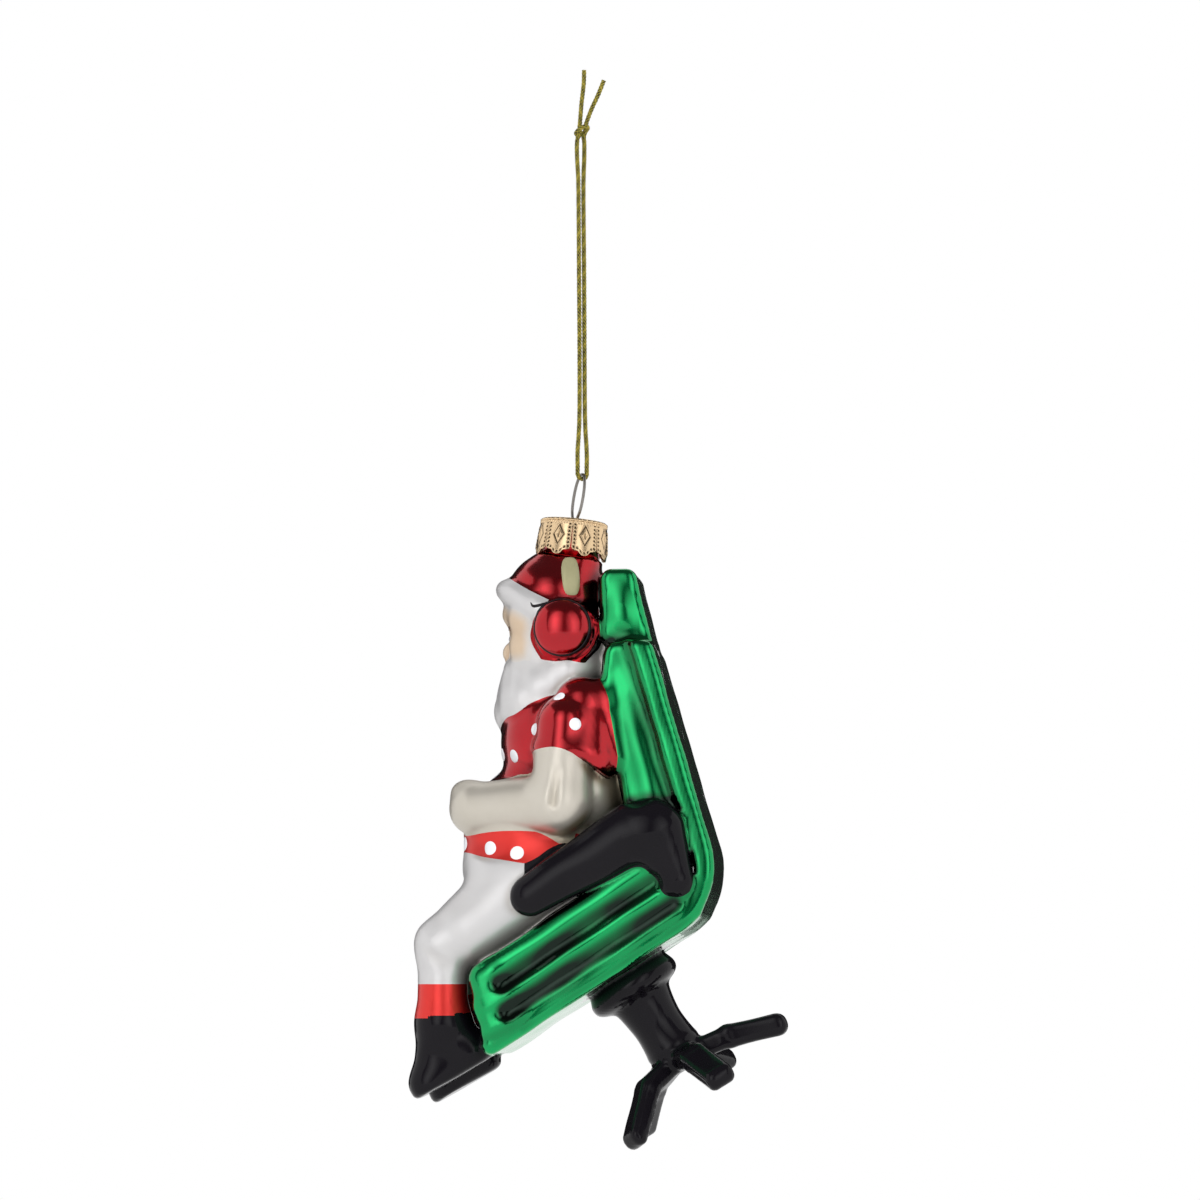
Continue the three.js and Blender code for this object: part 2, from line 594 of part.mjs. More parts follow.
function buildCord() {
  const across = new THREE.Vector3(-Math.sin(hangerTurn), Math.cos(hangerTurn), 0);
  const knotFoot = -seam;
  const strandFoot = knotFoot - strandLength;
  const at = (offset, height, shift = 0) =>
    across.clone().multiplyScalar(offset).add(new THREE.Vector3(0, shift, height));
  const along = (share) => knotFoot - strandLength * share;
  const strand = (side) => [
    at(side * 0.9, knotFoot, -0.35),
    at(side * 0.85, knotFoot - 4, -0.35),
    at(side * 0.62, knotFoot - 9, -0.3),
    at(side * 0.58, along(0.233), -0.25),
    at(side * 0.6, along(0.408), -0.15),
    at(side * 0.58, along(0.641), -0.05),
    at(side * 0.66, strandFoot + 10, 0),
    at(side * bightRadius, strandFoot + 3, 0),
    at(side * bightRadius, strandFoot, 0),
  ];
  place(ornament, "cord_strand_a", tube(strand(-1), cordRadius, 30), braid);
  place(ornament, "cord_strand_b", tube(strand(1), cordRadius, 30), braid);
  const turnTop = strandFoot - seam;
  const turnCentre = turnTop - bightArm;
  const bight = [at(-bightRadius, turnTop)];
  const turnSteps = 6;
  for (let i = 0; i <= turnSteps; i++) {
    const angle = (Math.PI * i) / turnSteps;
    bight.push(at(-bightRadius * Math.cos(angle), turnCentre - bightRadius * Math.sin(angle)));
  }
  bight.push(at(bightRadius, turnTop));
  place(ornament, "cord_bight", tube(bight, cordRadius, 14), braid);
  const knot = union(
    ball([0, -0.3, knotHeight / 2], [knotRadius, knotRadius, knotHeight / 2], 0, 0, 10),
    ball([0.2, -1.3, knotHeight * 0.42], [1.1, 1.0, 0.9], 0, 0, 10),
    ball([-0.2, 0.9, knotHeight * 0.62], [1.1, 0.95, 0.85], 0, 0, 10),
  );
  place(ornament, "cord_knot", cut(knot, halfSpace([0, 0, 0], [0, 0, -1])), braid);
  const tailFoot = knotHeight + seam;
  const tailA = [
    at(-0.1, tailFoot, -0.4),
    at(-0.2, tailFoot + 4, 0.0),
    at(-0.15, tailFoot + 8, 0.4),
    at(-0.15, tailFoot + tailLength - 2, 0.5),
  ];
  const tailB = [
    at(0.85, tailFoot, 0.1),
    at(1.2, tailFoot + 3, 0.9),
    at(1.5, tailFoot + 6, 2.0),
    at(1.7, tailFoot + tailLength - 4, 3.0),
  ];
  place(ornament, "cord_tail_a", tube(tailA, cordRadius, 6), braid);
  place(ornament, "cord_tail_b", tube(tailB, cordRadius, 6), braid);
}

function buildHanger() {
  const side = new THREE.Vector3(Math.cos(hangerTurn), Math.sin(hangerTurn), 0);
  // The eye's top is bent over until it lies on the cord's own line.
  const shift = (-capTop.y - eyeHeight * Math.sin(neckLean)) / Math.cos(neckLean);
  const at = (offset, height) => side.clone().multiplyScalar(offset)
    .add(new THREE.Vector3(0, shift * Math.max(height / eyeHeight, 0), height));
  const half = legSpacing / 2;
  const right = [
    [legSpread - 0.5, -legDepth], [legSpread, -legDepth + 2.2], [legSpread * 0.66, -legDepth + 6.2],
    [half, -legStraight], [half, -legStraight / 2], [half, 0.2], [eyeHalfWidth * 0.86, eyeHeight * 0.24],
    [eyeHalfWidth, eyeHeight * 0.5], [eyeHalfWidth * 0.88, eyeHeight * 0.76],
    [eyeHalfWidth * 0.5, eyeHeight * 0.95],
  ];
  const left = right.map(([offset, height]) => [-offset, height]).reverse();
  const path = [...right, [0, eyeHeight], ...left].map(([offset, height]) => at(offset, height));
  place(neckFrame, "hanger_wire", inNeck(tube(path, wireRadius, 64, 6)), steel);
}

function buildCap() {
  const profile = [[0, -capSheet], [capTopRadius - capSheet - 0.2, -capSheet],
    [capTopRadius - capSheet + 0.1, -1],
    [capHemRadius - capSheet - 0.15, -capHeight * 0.75], [capHemRadius - capSheet, -capHeight],
    [capHemRadius, -capHeight], [capHemRadius - 0.15, -capHeight * 0.75], [capTopRadius, -0.5],
    [capTopRadius - 0.35, 0], [0, 0]];
  const tools = [];
  for (let i = 0; i < capPetals; i++) {
    const turn = (360 / capPetals) * (i + 0.6);
    const slit = box([0, -petalSlit / 2, -capHeight - 1], [capHemRadius + 2, petalSlit / 2, -petalSlitTop]);
    const scallopReach = capHemRadius + 2;
    const scallop = turned([[0, 3], [petalScallop, 3], [petalScallop, scallopReach], [0, scallopReach]], 10)
      .rotate([0, 90, 0]).translate([0, 0, -capHeight - 0.25]);
    tools.push(union(slit, scallop).rotate([0, 0, turn]));
  }
  const half = legSpacing / 2;
  for (const side of [-1, 1]) {
    const hole = turned([[0, -2], [holeRadius, -2], [holeRadius, 2], [0, 2]], 10);
    tools.push(hole.translate([side * half * Math.cos(hangerTurn), side * half * Math.sin(hangerTurn), 0]));
  }
  place(neckFrame, "cap", inNeck(cut(turned(profile, 32), ...tools)), brass);
  const rim = [[neckBore, -neckFoot], [neckRadius, -neckFoot], [neckRadius, -neckRimTop - 1.2],
    [neckRadius + 0.15, -neckRimTop - 0.5], [neckRadius - 0.2, -neckRimTop], [neckBore + 0.1, -neckRimTop],
    [neckBore, -neckRimTop - 0.4], [neckBore, -neckFoot]];
  place(neckFrame, "glass_neck", inNeck(turned(rim)), red);
}

function buildHead() {
  const pads = (grow) => union(pad(-1, grow), pad(1, grow));
  const cups = (grow) => union(cup(-1, grow), cup(1, grow));
  const brim = forms.brim;
  for (const [side, name] of [[1, "left"], [-1, "right"]]) {
    place(figure, `ear_cup_${name}`, cut(cup(side, 0), hollow), red);
    place(figure, `ear_pad_${name}`, cut(pad(side, 0), cup(side, seam), hollow), red);
    const strip = box([side > 0 ? 2 : -14, bandCentreY - bandWidth / 2, bandBottom],
      [side > 0 ? 14 : -2, bandCentreY + bandWidth / 2, bandTop]);
    const layer = cut(forms.hat(seam + bandThickness), forms.hat(seam), pads(seam), brim(seam));
    place(figure, `headphone_band_${name}`, layer.intersect(strip), olive);
  }
  const crown = forms.hat(0).intersect(brimPlane(0));
  place(figure, "hat", cut(crown, brim(seam), pads(seam), headrest(seam), hollow), red);
  place(figure, "hat_brim", cut(brim(0), pads(seam), cups(seam), headrest(seam), back(seam), hollow), pearl);
  place(figure, "nose", nose(0), skin);
  place(figure, "moustache", cut(moustache(0), nose(seam)), pearl);
  const faceTools = [nose(seam), moustache(seam), brim(seam), pads(seam), hollow];
  place(figure, "face", cut(face(0), ...faceTools, forms.beard(seam)), skin);
  place(figure, "beard", cut(forms.beard(0), ...faceTools), pearl);
  const skullBelow = cut(union(forms.skull(0), forms.hair(0)), brimPlane(seam));
  place(figure, "hair", cut(skullBelow, face(seam), nose(seam), forms.beard(seam), brim(seam),
    pads(seam), headrest(seam), hollow), pearl);
}

function buildTorso() {
  const headForms = union(forms.beard(seam), forms.skull(seam), forms.hair(seam));
  const sleeves = (grow) => union(sleeve(-1, grow), sleeve(1, grow));
  const arms = (grow) => cut(union(arm(-1, grow), arm(1, grow)), aboveCuff(seam - grow));
  const armrests = (grow) => union(armrest(-1, grow), armrest(1, grow));
  for (const [side, name] of [[1, "left"], [-1, "right"]]) {
    const cloth = sleeve(side, 0).intersect(aboveCuff(0));
    place(figure, `sleeve_${name}`, cut(cloth, headForms, hollow), red);
    const half = halfSpace([side * seam / 2, 0, 0], [side, 0, 0]);
    const bare = cut(arm(side, 0), aboveCuff(seam), armrests(seam), hollow);
    place(figure, `arm_${name}`, bare.intersect(half), cream);
  }
  const torso = union(forms.chest(0), forms.belly(0));
  const tools = [headForms, sleeves(seam), arms(seam), armrests(seam), hollow];
  place(figure, "shirt_front", cut(torso, ...tools, forms.back(seam)).intersect(split), red);
  const hemBand = cut(torso, ...tools, forms.back(seam), seat(seam)).intersect(splitLow);
  place(figure, "shirt_hem", hemBand.intersect(aboveHem(0)), scarlet);
  place(figure, "lower_back", cut(forms.back(0), ...tools, seat(seam)).intersect(aboveHem(0)), cream);
}

function buildLegs() {
  const armrests = union(armrest(-1, seam), armrest(1, seam));
  for (const [side, name] of [[1, "left"], [-1, "right"]]) {
    const drop = side < 0 ? farFootDrop : 0;
    const half = halfSpace([side * seam / 2, 0, 0], [side, 0, 0]);
    const lap = cut(union(forms.belly(0), forms.back(0), forms.lap(0)), aboveHem(seam));
    const limbs = cut(union(thigh(side, 0), shin(side, 0)), forms.belly(seam).intersect(aboveHem(0)),
      halfSpace([0, 0, cuffTop - drop + seam], [0, 0, -1]), aboveHem(seam).intersect(forms.belly(4)));
    const cloth = union(lap, limbs);
    place(figure, `trouser_${name}`, cut(cloth, seat(seam), shell(seam), back(seam), armrests, hollow)
      .intersect(half), pearl);
    const sock = turned([[0, cuffFoot], [sockRadius, cuffFoot], [sockRadius, cuffTop], [0, cuffTop]])
      .translate([side * legX, ankle[1], -drop]);
    place(figure, `sock_${name}`, cut(sock, seat(seam), shell(seam), hollow), scarlet);
    const trimmed = cut(foot(side, 0), halfSpace([0, 0, cuffFoot - drop - seam], [0, 0, 1]),
      halfSpace(soleOf(side, drop), [0, -Math.sin(soleTilt), -Math.cos(soleTilt)]));
    place(figure, `boot_${name}`, cut(trimmed, seat(seam), shell(seam), hollow), black);
  }
}

function buildChair() {
  const figureForms = union(
    forms.hair(seam), forms.skull(seam), forms.hat(seam), forms.chest(seam), forms.back(seam),
    forms.belly(seam), sleeve(-1, seam), sleeve(1, seam));
  const armrests = (grow) => union(armrest(-1, grow), armrest(1, grow));
  place(chair, "chair_shell", cut(shell(0), armrests(seam), hollow), green);
  place(chair, "seat_cushion", cut(seat(0), shellPath(seam), armrests(seam), hollow), green);
  const backRest = cut(back(0), shellPath(seam), armrests(seam), figureForms, hollow);
  place(chair, "back_cushion", backRest.intersect(belowHeadrest(seam)), green);
  place(chair, "headrest", cut(headrest(0), figureForms, hollow), green);
  place(chair, "armrest_left", cut(armrest(1, 0), hollow), black);
  place(chair, "armrest_right", cut(armrest(-1, 0), hollow), black);
}

function buildBase() {
  const bore = postWaist - glassWall;
  const flange = [[bore, flangeFoot], [postRadius + 0.8, flangeFoot], [flangeRadius - 1.6, flangeFoot + 1.2],
    [flangeRadius, -3.6], [flangeRadius - 0.6, -2.4], [flangeRadius - 2.2, flangeTop], [bore, flangeTop],
    [bore, flangeFoot]];
  place(chair, "pedestal_flange", inChair(turned(flange)), black);
  const postTop = flangeFoot - seam;
  const post = [[bore, postFoot], [postRadius, postFoot], [postRadius - 0.2, postFoot + 1.6],
    [postWaist, (postTop + postFoot) / 2],
    [postRadius - 0.1, postTop - 1.4], [postRadius + 0.5, postTop], [bore, postTop], [bore, postFoot]];
  place(chair, "pedestal_post", inChair(turned(post)), black);
  const hub = (grow) => turned([[0, hubFoot - grow], [hubRadius - 1.2 + grow, hubFoot - grow],
    [hubRadius + grow, hubFoot + 1], [hubRadius + grow, postFoot - seam - 0.8],
    [hubRadius - 0.6 + grow, postFoot - seam], [0, postFoot - seam]]);
  place(chair, "base_hub", inChair(hub(0)), black);
  for (let i = 0; i < legCount; i++) {
    const drop = footDrops[i];
    const reached = footReaches[i];
    const armFoot = armTop - armThickness;
    const armLimb = slab([[3, armFoot, 0.8], [armReach, armFoot - armDrop, 1],
      [armReach + 1.2, armTop - armDrop, 1], [3, armTop, 0.8]],
      armHalfWidth, legEdge);
    const footTop = armTop - armDrop + 0.4;
    const foot = slab([[armReach - 1, footTop - footThickness, 1],
      [reached - 0.8, footTop - footThickness - drop, 1.6],
      [reached, footTop - drop - 0.6, 1.6], [armReach - 0.4, footTop, 1]], footHalfWidth, legEdge);
    const leg = union(armLimb, foot).rotate([0, 0, (-360 / legCount) * i]);
    place(chair, `base_leg_${i + 1}`, inChair(cut(leg, hub(seam))), black);
  }
}

buildCord();
buildHanger();
buildCap();
buildHead();
buildTorso();
buildLegs();
buildChair();
buildBase();

export default ornament;
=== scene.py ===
"""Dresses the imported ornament: lacquered blown glass, a stamped cap, a wire eye and a braided cord."""

import logging
import math
from dataclasses import dataclass, field
from enum import Enum
from itertools import product
from typing import Callable

import bpy
import numpy as np
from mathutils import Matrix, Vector


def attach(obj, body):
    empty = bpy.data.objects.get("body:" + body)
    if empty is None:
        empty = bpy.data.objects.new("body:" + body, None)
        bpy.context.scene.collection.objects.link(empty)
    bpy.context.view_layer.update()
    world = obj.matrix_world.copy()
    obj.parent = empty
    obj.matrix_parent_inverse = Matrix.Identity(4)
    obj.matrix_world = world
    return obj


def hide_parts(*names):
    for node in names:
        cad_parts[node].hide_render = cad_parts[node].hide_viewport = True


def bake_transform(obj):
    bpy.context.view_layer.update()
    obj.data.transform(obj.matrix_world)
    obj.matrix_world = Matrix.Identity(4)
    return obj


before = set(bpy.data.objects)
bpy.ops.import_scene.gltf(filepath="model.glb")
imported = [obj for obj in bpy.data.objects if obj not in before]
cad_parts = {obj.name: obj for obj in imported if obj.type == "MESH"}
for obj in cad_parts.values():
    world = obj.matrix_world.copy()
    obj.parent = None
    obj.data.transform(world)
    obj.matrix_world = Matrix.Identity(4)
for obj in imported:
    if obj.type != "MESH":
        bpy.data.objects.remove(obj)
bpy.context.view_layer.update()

LOG = logging.getLogger("ornament")
MM = 0.001  # shapes are worked out in millimetres, and meshes are made in metres
FAR = 1.0e3  # a distance that stands for far outside every form

Array = np.ndarray
TwoArrays = tuple[Array, Array]
Field = Callable[[Array, Array, Array], Array]
Pair = tuple[float, float]
Triple = tuple[float, float, float]
Socket = bpy.types.NodeSocket

UP = np.array((0.0, 0.0, 1.0))
SIDES = ((1, "left"), (-1, "right"))  # the sign of x and the name of each side


class Body(Enum):
    """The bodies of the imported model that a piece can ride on."""

    CORD = "cord"
    BIGHT = "bight"
    HANGER = "hanger"
    CAP = "cap"
    GLASS = "glass"


# Distances


def merge(a: Array, b: Array, soft: float) -> Array:
    """The union of two distances, with a crease that is rounded over a width of soft."""
    if soft <= 0:
        return np.minimum(a, b)
    share = np.maximum(soft - np.abs(a - b), 0.0) / soft
    return np.minimum(a, b) - share * share * soft / 4


def carve(a: Array, b: Array, soft: float) -> Array:
    """The part of both distances, with an edge that is rounded over a width of soft."""
    return -merge(-a, -b, soft)


def polygon_distance(corners: Array, y: Array, z: Array) -> Array:
    """The signed distance to a closed polygon.

    Args:
        corners: The polygon's corners, one row each.
        y: First coordinates.
        z: Second coordinates.

    Returns:
        The distance, negative inside.
    """
    best = np.full(np.broadcast(y, z).shape, np.inf)
    odd = np.zeros(best.shape, bool)
    for (ay, az), (by, bz) in zip(corners, np.roll(corners, -1, axis=0)):
        ey, ez = by - ay, bz - az
        wy, wz = y - ay, z - az
        t = np.clip((wy * ey + wz * ez) / max(ey * ey + ez * ez, 1e-12), 0, 1)
        best = np.minimum(best, (wy - ey * t) ** 2 + (wz - ez * t) ** 2)
        if abs(ez) > 1e-12:
            odd ^= ((az > z) != (bz > z)) & (y < ey * (z - az) / ez + ay)
    return np.where(odd, -1.0, 1.0) * np.sqrt(best)


def soft_depth(corners: Array, y: Array, z: Array, blend: float) -> Array:
    """How deep points lie in a convex polygon, smooth where the distances to its sides meet.

    Args:
        corners: The polygon's corners, one row each.
        y: First coordinates.
        z: Second coordinates.
        blend: The width over which two sides' distances flow together.

    Returns:
        The depth, below zero outside.
    """
    total = np.zeros(np.broadcast(y, z).shape)
    ahead = np.roll(corners, -1, axis=0)
    area = (corners[:, 0] * ahead[:, 1] - ahead[:, 0] * corners[:, 1]).sum()
    for (ay, az), (by, bz) in zip(corners, ahead):
        reach = math.copysign(math.hypot(by - ay, bz - az), area)
        depth = ((by - ay) * (z - az) - (bz - az) * (y - ay)) / reach
        total = total + np.exp(np.clip(-depth / blend, -40, 40))
    return -blend * np.log(total)


def rounded_outline(corners: tuple[Triple, ...], outwards: float) -> Array:
    """A convex outline with its corners rounded.

    Args:
        corners: Rows of y, z and fillet radius, counterclockwise.
        outwards: How far the outline moves out.

    Returns:
        The outline's points, with each fillet as an arc.
    """
    count = len(corners)
    flat = np.array([corner[:2] for corner in corners], float)
    ways = np.roll(flat, -1, axis=0) - flat
    ways /= np.linalg.norm(ways, axis=1)[:, None]
    moved = flat + outwards * np.stack([ways[:, 1], -ways[:, 0]], axis=1)
    sharp = []
    for i in range(count):
        a, u, b, v = moved[i - 1], ways[i - 1], moved[i], ways[i]
        t = ((b[0] - a[0]) * v[1] - (b[1] - a[1]) * v[0]) / (u[0] * v[1] - u[1] * v[0])
        sharp.append(a + t * u)
    points = []
    for i, corner in enumerate(sharp):
        if corners[i][2] == 0:
            points.append(corner)
            continue
        before, after = sharp[i - 1] - corner, sharp[(i + 1) % count] - corner
        lengths = np.linalg.norm(before), np.linalg.norm(after)
        before, after = before / lengths[0], after / lengths[1]
        half = math.acos(float(np.clip(before @ after, -1, 1))) / 2
        widest = 0.45 * min(lengths) * math.tan(half)
        radius = min(max(corners[i][2] + outwards, 0.15), widest)
        middle = before + after
        centre = corner + middle / np.linalg.norm(middle) * radius / math.sin(half)
        first = corner + before * radius / math.tan(half) - centre
        sweep = math.pi - 2 * half
        steps = max(2, round(sweep / 0.12))
        for k in range(steps + 1):
            c, s = math.cos(sweep * k / steps), math.sin(sweep * k / steps)
            points.append(centre + np.array([c * first[0] - s * first[1], s * first[0] + c * first[1]]))
    return np.array(points)


def smooth_path(points: Array, steps: int) -> Array:
    """A Catmull-Rom curve through points.

    Args:
        points: The points that it passes, one a row.
        steps: How many steps it takes between each two.

    Returns:
        The curve's points.
    """
    points = np.asarray(points, float)
    padded = np.vstack([2 * points[0] - points[1], points, 2 * points[-1] - points[-2]])
    found = []
    for i in range(len(points) - 1):
        a, b, c, d = padded[i : i + 4]
        for k in range(steps):
            t = k / steps
            square, cube = (2 * a - 5 * b + 4 * c - d) * t * t, (3 * b - a - 3 * c + d) * t**3
            found.append(0.5 * (2 * b + (c - a) * t + square + cube))
    found.append(points[-1])
    return np.array(found)


@dataclass(frozen=True)
class Placing:
    """A frame with its own origin that leans about X, and spins about its own Z."""

    origin: Triple = (0.0, 0.0, 0.0)
    lean: float = 0.0
    spin: float = 0.0

    def local(self, x: Array, y: Array, z: Array) -> tuple[Array, Array, Array]:
        """Coordinates of the row frame, seen in this frame.

        Args:
            x: X in the row frame.
            y: Y in the row frame.
            z: Z in the row frame.

        Returns:
            The three coordinates in this frame.
        """
        c, s = math.cos(self.lean), math.sin(self.lean)
        x, y, z = x - self.origin[0], y - self.origin[1], z - self.origin[2]
        y, z = c * y + s * z, -s * y + c * z
        if self.spin:
            c, s = math.cos(self.spin), math.sin(self.spin)
            x, y = c * x + s * y, -s * x + c * y
        return x, y, z

    def world(self, points: Array) -> Array:
        """Moves points out of this frame.

        Args:
            points: Points in this frame, one a row.

        Returns:
            The points in the row frame.
        """
        x, y, z = np.asarray(points, float).T
        if self.spin:
            c, s = math.cos(self.spin), math.sin(self.spin)
            x, y = c * x - s * y, s * x + c * y
        c, s = math.cos(self.lean), math.sin(self.lean)
        y, z = c * y - s * z, s * y + c * z
        return np.stack([x, y, z], axis=1) + np.array(self.origin)


ROW = Placing()
NECK = Placing((0.0, -1.6, -80.5), math.radians(-5.5))
CHAIR = Placing((0.0, 8.96, -173.0), math.radians(32.8))


class Form:
    """A solid form that says how far a point is from its surface."""

    def __call__(self, x: Array, y: Array, z: Array) -> Array:
        """The distance of points from the surface, negative inside.

        Args:
            x: The points' X in the row frame, in millimetres.
            y: Their Y.
            z: Their Z.

        Returns:
            The distances.
        """
        raise NotImplementedError

    def box(self) -> TwoArrays:
        """The lowest and highest corner of the form in the row frame."""
        raise NotImplementedError


@dataclass(frozen=True)
class Ball(Form):
    """An ellipsoid that is turned about X."""

    centre: Triple
    radii: Triple
    turn: float = 0.0

    def __call__(self, x: Array, y: Array, z: Array) -> Array:
        """Distance, negative inside."""
        x, y, z = Placing(self.centre, self.turn).local(x, y, z)
        rx, ry, rz = self.radii
        near = np.sqrt((x / rx) ** 2 + (y / ry) ** 2 + (z / rz) ** 2)
        slope = np.sqrt((x / rx**2) ** 2 + (y / ry**2) ** 2 + (z / rz**2) ** 2)
        return near * (near - 1) / np.maximum(slope, 1e-6)

    def box(self) -> TwoArrays:
        """Lowest and highest corner."""
        reach = np.array([self.radii[0], *[max(self.radii[1:])] * 2])
        return np.array(self.centre) - reach, np.array(self.centre) + reach


@dataclass(frozen=True)
class Limb(Form):
    """A round-ended limb that tapers, and that may be flattened from side to side."""

    start: Triple
    end: Triple
    first: float
    last: float
    flat: float = 1.0

    def __call__(self, x: Array, y: Array, z: Array) -> Array:
        """Distance, negative inside."""
        a, b = np.array(self.start), np.array(self.end)
        x = (x - a[0]) / self.flat
        y, z = y - a[1], z - a[2]
        d = b - a
        t = np.clip((x * d[0] + y * d[1] + z * d[2]) / (d @ d), 0, 1)
        gap = np.sqrt((x - t * d[0]) ** 2 + (y - t * d[1]) ** 2 + (z - t * d[2]) ** 2)
        return gap - self.first - (self.last - self.first) * t

    def box(self) -> TwoArrays:
        """Lowest and highest corner."""
        reach = max(self.first, self.last)
        return np.minimum(self.start, self.end) - reach, np.maximum(self.start, self.end) + reach


@dataclass(frozen=True)
class Ring(Form):
    """A round tube bent to an oval ring, in a plane that leans about X."""

    centre: Triple
    radius: float
    tube: float
    side: float
    depth: float
    lean: float

    def __call__(self, x: Array, y: Array, z: Array) -> Array:
        """Distance, negative inside."""
        x, y, z = Placing(self.centre, -self.lean).local(x, y, z)
        return np.hypot(np.hypot(x / self.side, y / self.depth) - self.radius, z) - self.tube

    def box(self) -> TwoArrays:
        """Lowest and highest corner."""
        reach = self.radius * max(self.side, self.depth) + self.tube
        return np.array(self.centre) - reach, np.array(self.centre) + reach


@dataclass(frozen=True)
class Slab(Form):
    """A convex outline in Y and Z that runs along X, with rounded edges and sides that swell like a pillow."""

    corners: tuple[Triple, ...]
    half_width: float
    edge: float
    placing: Placing = ROW
    pillow: float = 0.0
    pillow_reach: float = 2.0

    def __call__(self, x: Array, y: Array, z: Array) -> Array:
        """Distance, negative inside."""
        x, y, z = self.placing.local(x, y, z)
        across = polygon_distance(rounded_outline(self.corners, -self.edge), y, z)
        along = np.abs(x) - (self.half_width - self.edge)
        if self.pillow:
            corners = np.array([corner[:2] for corner in self.corners])
            depth = np.maximum(soft_depth(corners, y, z, 0.5 * self.pillow_reach), 0)
            along = along + self.pillow * np.exp(-((depth / self.pillow_reach) ** 2))
        outside = np.hypot(np.maximum(across, 0), np.maximum(along, 0))
        return outside + np.minimum(np.maximum(across, along), 0) - self.edge

    def box(self) -> TwoArrays:
        """Lowest and highest corner."""
        ends = [(side * self.half_width, y, z) for side in (-1, 1) for y, z, _ in self.corners]
        placed = self.placing.world(np.array(ends))
        return placed.min(0), placed.max(0)


@dataclass(frozen=True)
class Turned(Form):
    """A form turned about the Z axis of its frame, or about X, from a profile of radius and height."""

    profile: tuple[Pair, ...]
    placing: Placing = ROW
    about_x: int = 0

    def __call__(self, x: Array, y: Array, z: Array) -> Array:
        """Distance, negative inside."""
        x, y, z = self.placing.local(x, y, z)
        if self.about_x:
            radius, height = np.hypot(y, z), x * self.about_x
        else:
            radius, height = np.hypot(x, y), z
        half = np.array(self.profile, float)
        whole = np.vstack([half, (half * [-1, 1])[::-1]])
        return polygon_distance(whole, radius, height)

    def box(self) -> TwoArrays:
        """Lowest and highest corner."""
        half = np.array(self.profile)
        reach, low, high = half[:, 0].max(), half[:, 1].min(), half[:, 1].max()
        if self.about_x:
            low, high = sorted((low * self.about_x, high * self.about_x))
            ends = product((low, high), (-reach, reach), (-reach, reach))
        else:
            ends = product((-reach, reach), (-reach, reach), (low, high))
        placed = self.placing.world(np.array(list(ends)))
        return placed.min(0), placed.max(0)


@dataclass(frozen=True)
class Side:
    """How far points are past a plane, on the side that its normal shows, with a wave in its edge."""

    point: Triple
    normal: Triple
    wave: float = 0.0

    def __call__(self, x: Array, y: Array, z: Array) -> Array:
        """The distance past the plane, negative before it."""
        n = np.array(self.normal) / np.linalg.norm(self.normal)
        past = (x - self.point[0]) * n[0] + (y - self.point[1]) * n[1] + (z - self.point[2]) * n[2]
        if self.wave:
            past = past + self.wave * (np.sin(1.1 * y + 0.6 * x) + 0.5 * np.sin(1.9 * y - 0.9 * x + 1.0))
        return past


@dataclass(frozen=True)
class Trimmed(Form):
    """A form with all that lies past its limits cut off."""

    form: Form
    limits: tuple[Field, ...]
    soft: float = 0.6

    def __call__(self, x: Array, y: Array, z: Array) -> Array:
        """Distance, negative inside."""
        left = self.form(x, y, z)
        for limit in self.limits:
            left = carve(left, limit(x, y, z), self.soft)
        return left

    def box(self) -> TwoArrays:
        """Lowest and highest corner."""
        return self.form.box()


@dataclass(frozen=True)
class Joined(Form):
    """Several forms that flow into each other."""

    forms: tuple[Form, ...]
    soft: float

    def __call__(self, x: Array, y: Array, z: Array) -> Array:
        """Distance, negative inside."""
        whole = self.forms[0](x, y, z)
        for form in self.forms[1:]:
            whole = merge(whole, form(x, y, z), self.soft)
        return whole

    def box(self) -> TwoArrays:
        """Lowest and highest corner."""
        boxes = [form.box() for form in self.forms]
        return np.min([low for low, _ in boxes], axis=0), np.max([high for _, high in boxes], axis=0)


def joined(soft: float, *forms: Form) -> Joined:
    """Joins forms over a width of soft."""
    return Joined(forms, soft)


@dataclass(frozen=True)
class Combed(Form):
    """A form with soft strands of hair round an upright axis."""

    form: Form
    centre: Pair
    count: int
    depth: float

    def __call__(self, x: Array, y: Array, z: Array) -> Array:
        """Distance, negative inside."""
        turn = np.arctan2(x - self.centre[0], -(y - self.centre[1]))
        locks = np.sin(self.count * turn + 0.9 * np.sin(0.55 * z) + 0.25 * z)
        return self.form(x, y, z) - self.depth * locks

    def box(self) -> TwoArrays:
        """Lowest and highest corner."""
        return self.form.box()


def outside_of(form: Form) -> Field:
    """A limit that keeps another form outside this one."""
    return lambda x, y, z: -form(x, y, z)


def either(*limits: Field, soft: float = 0.0) -> Field:
    """Joins limits to one that is passed only where all of these are.

    Args:
        limits: The limits.
        soft: The width over which their edges flow together.

    Returns:
        The joined limit.
    """

    def lowest(x: Array, y: Array, z: Array) -> Array:
        """How far points are past all the limits."""
        past = limits[0](x, y, z)
        for limit in limits[1:]:
            past = merge(past, limit(x, y, z), soft)
        return past

    return lowest


def opposite(limit: Field) -> Field:
    """The limit from its other side."""
    return lambda x, y, z: -limit(x, y, z)


# Finishes


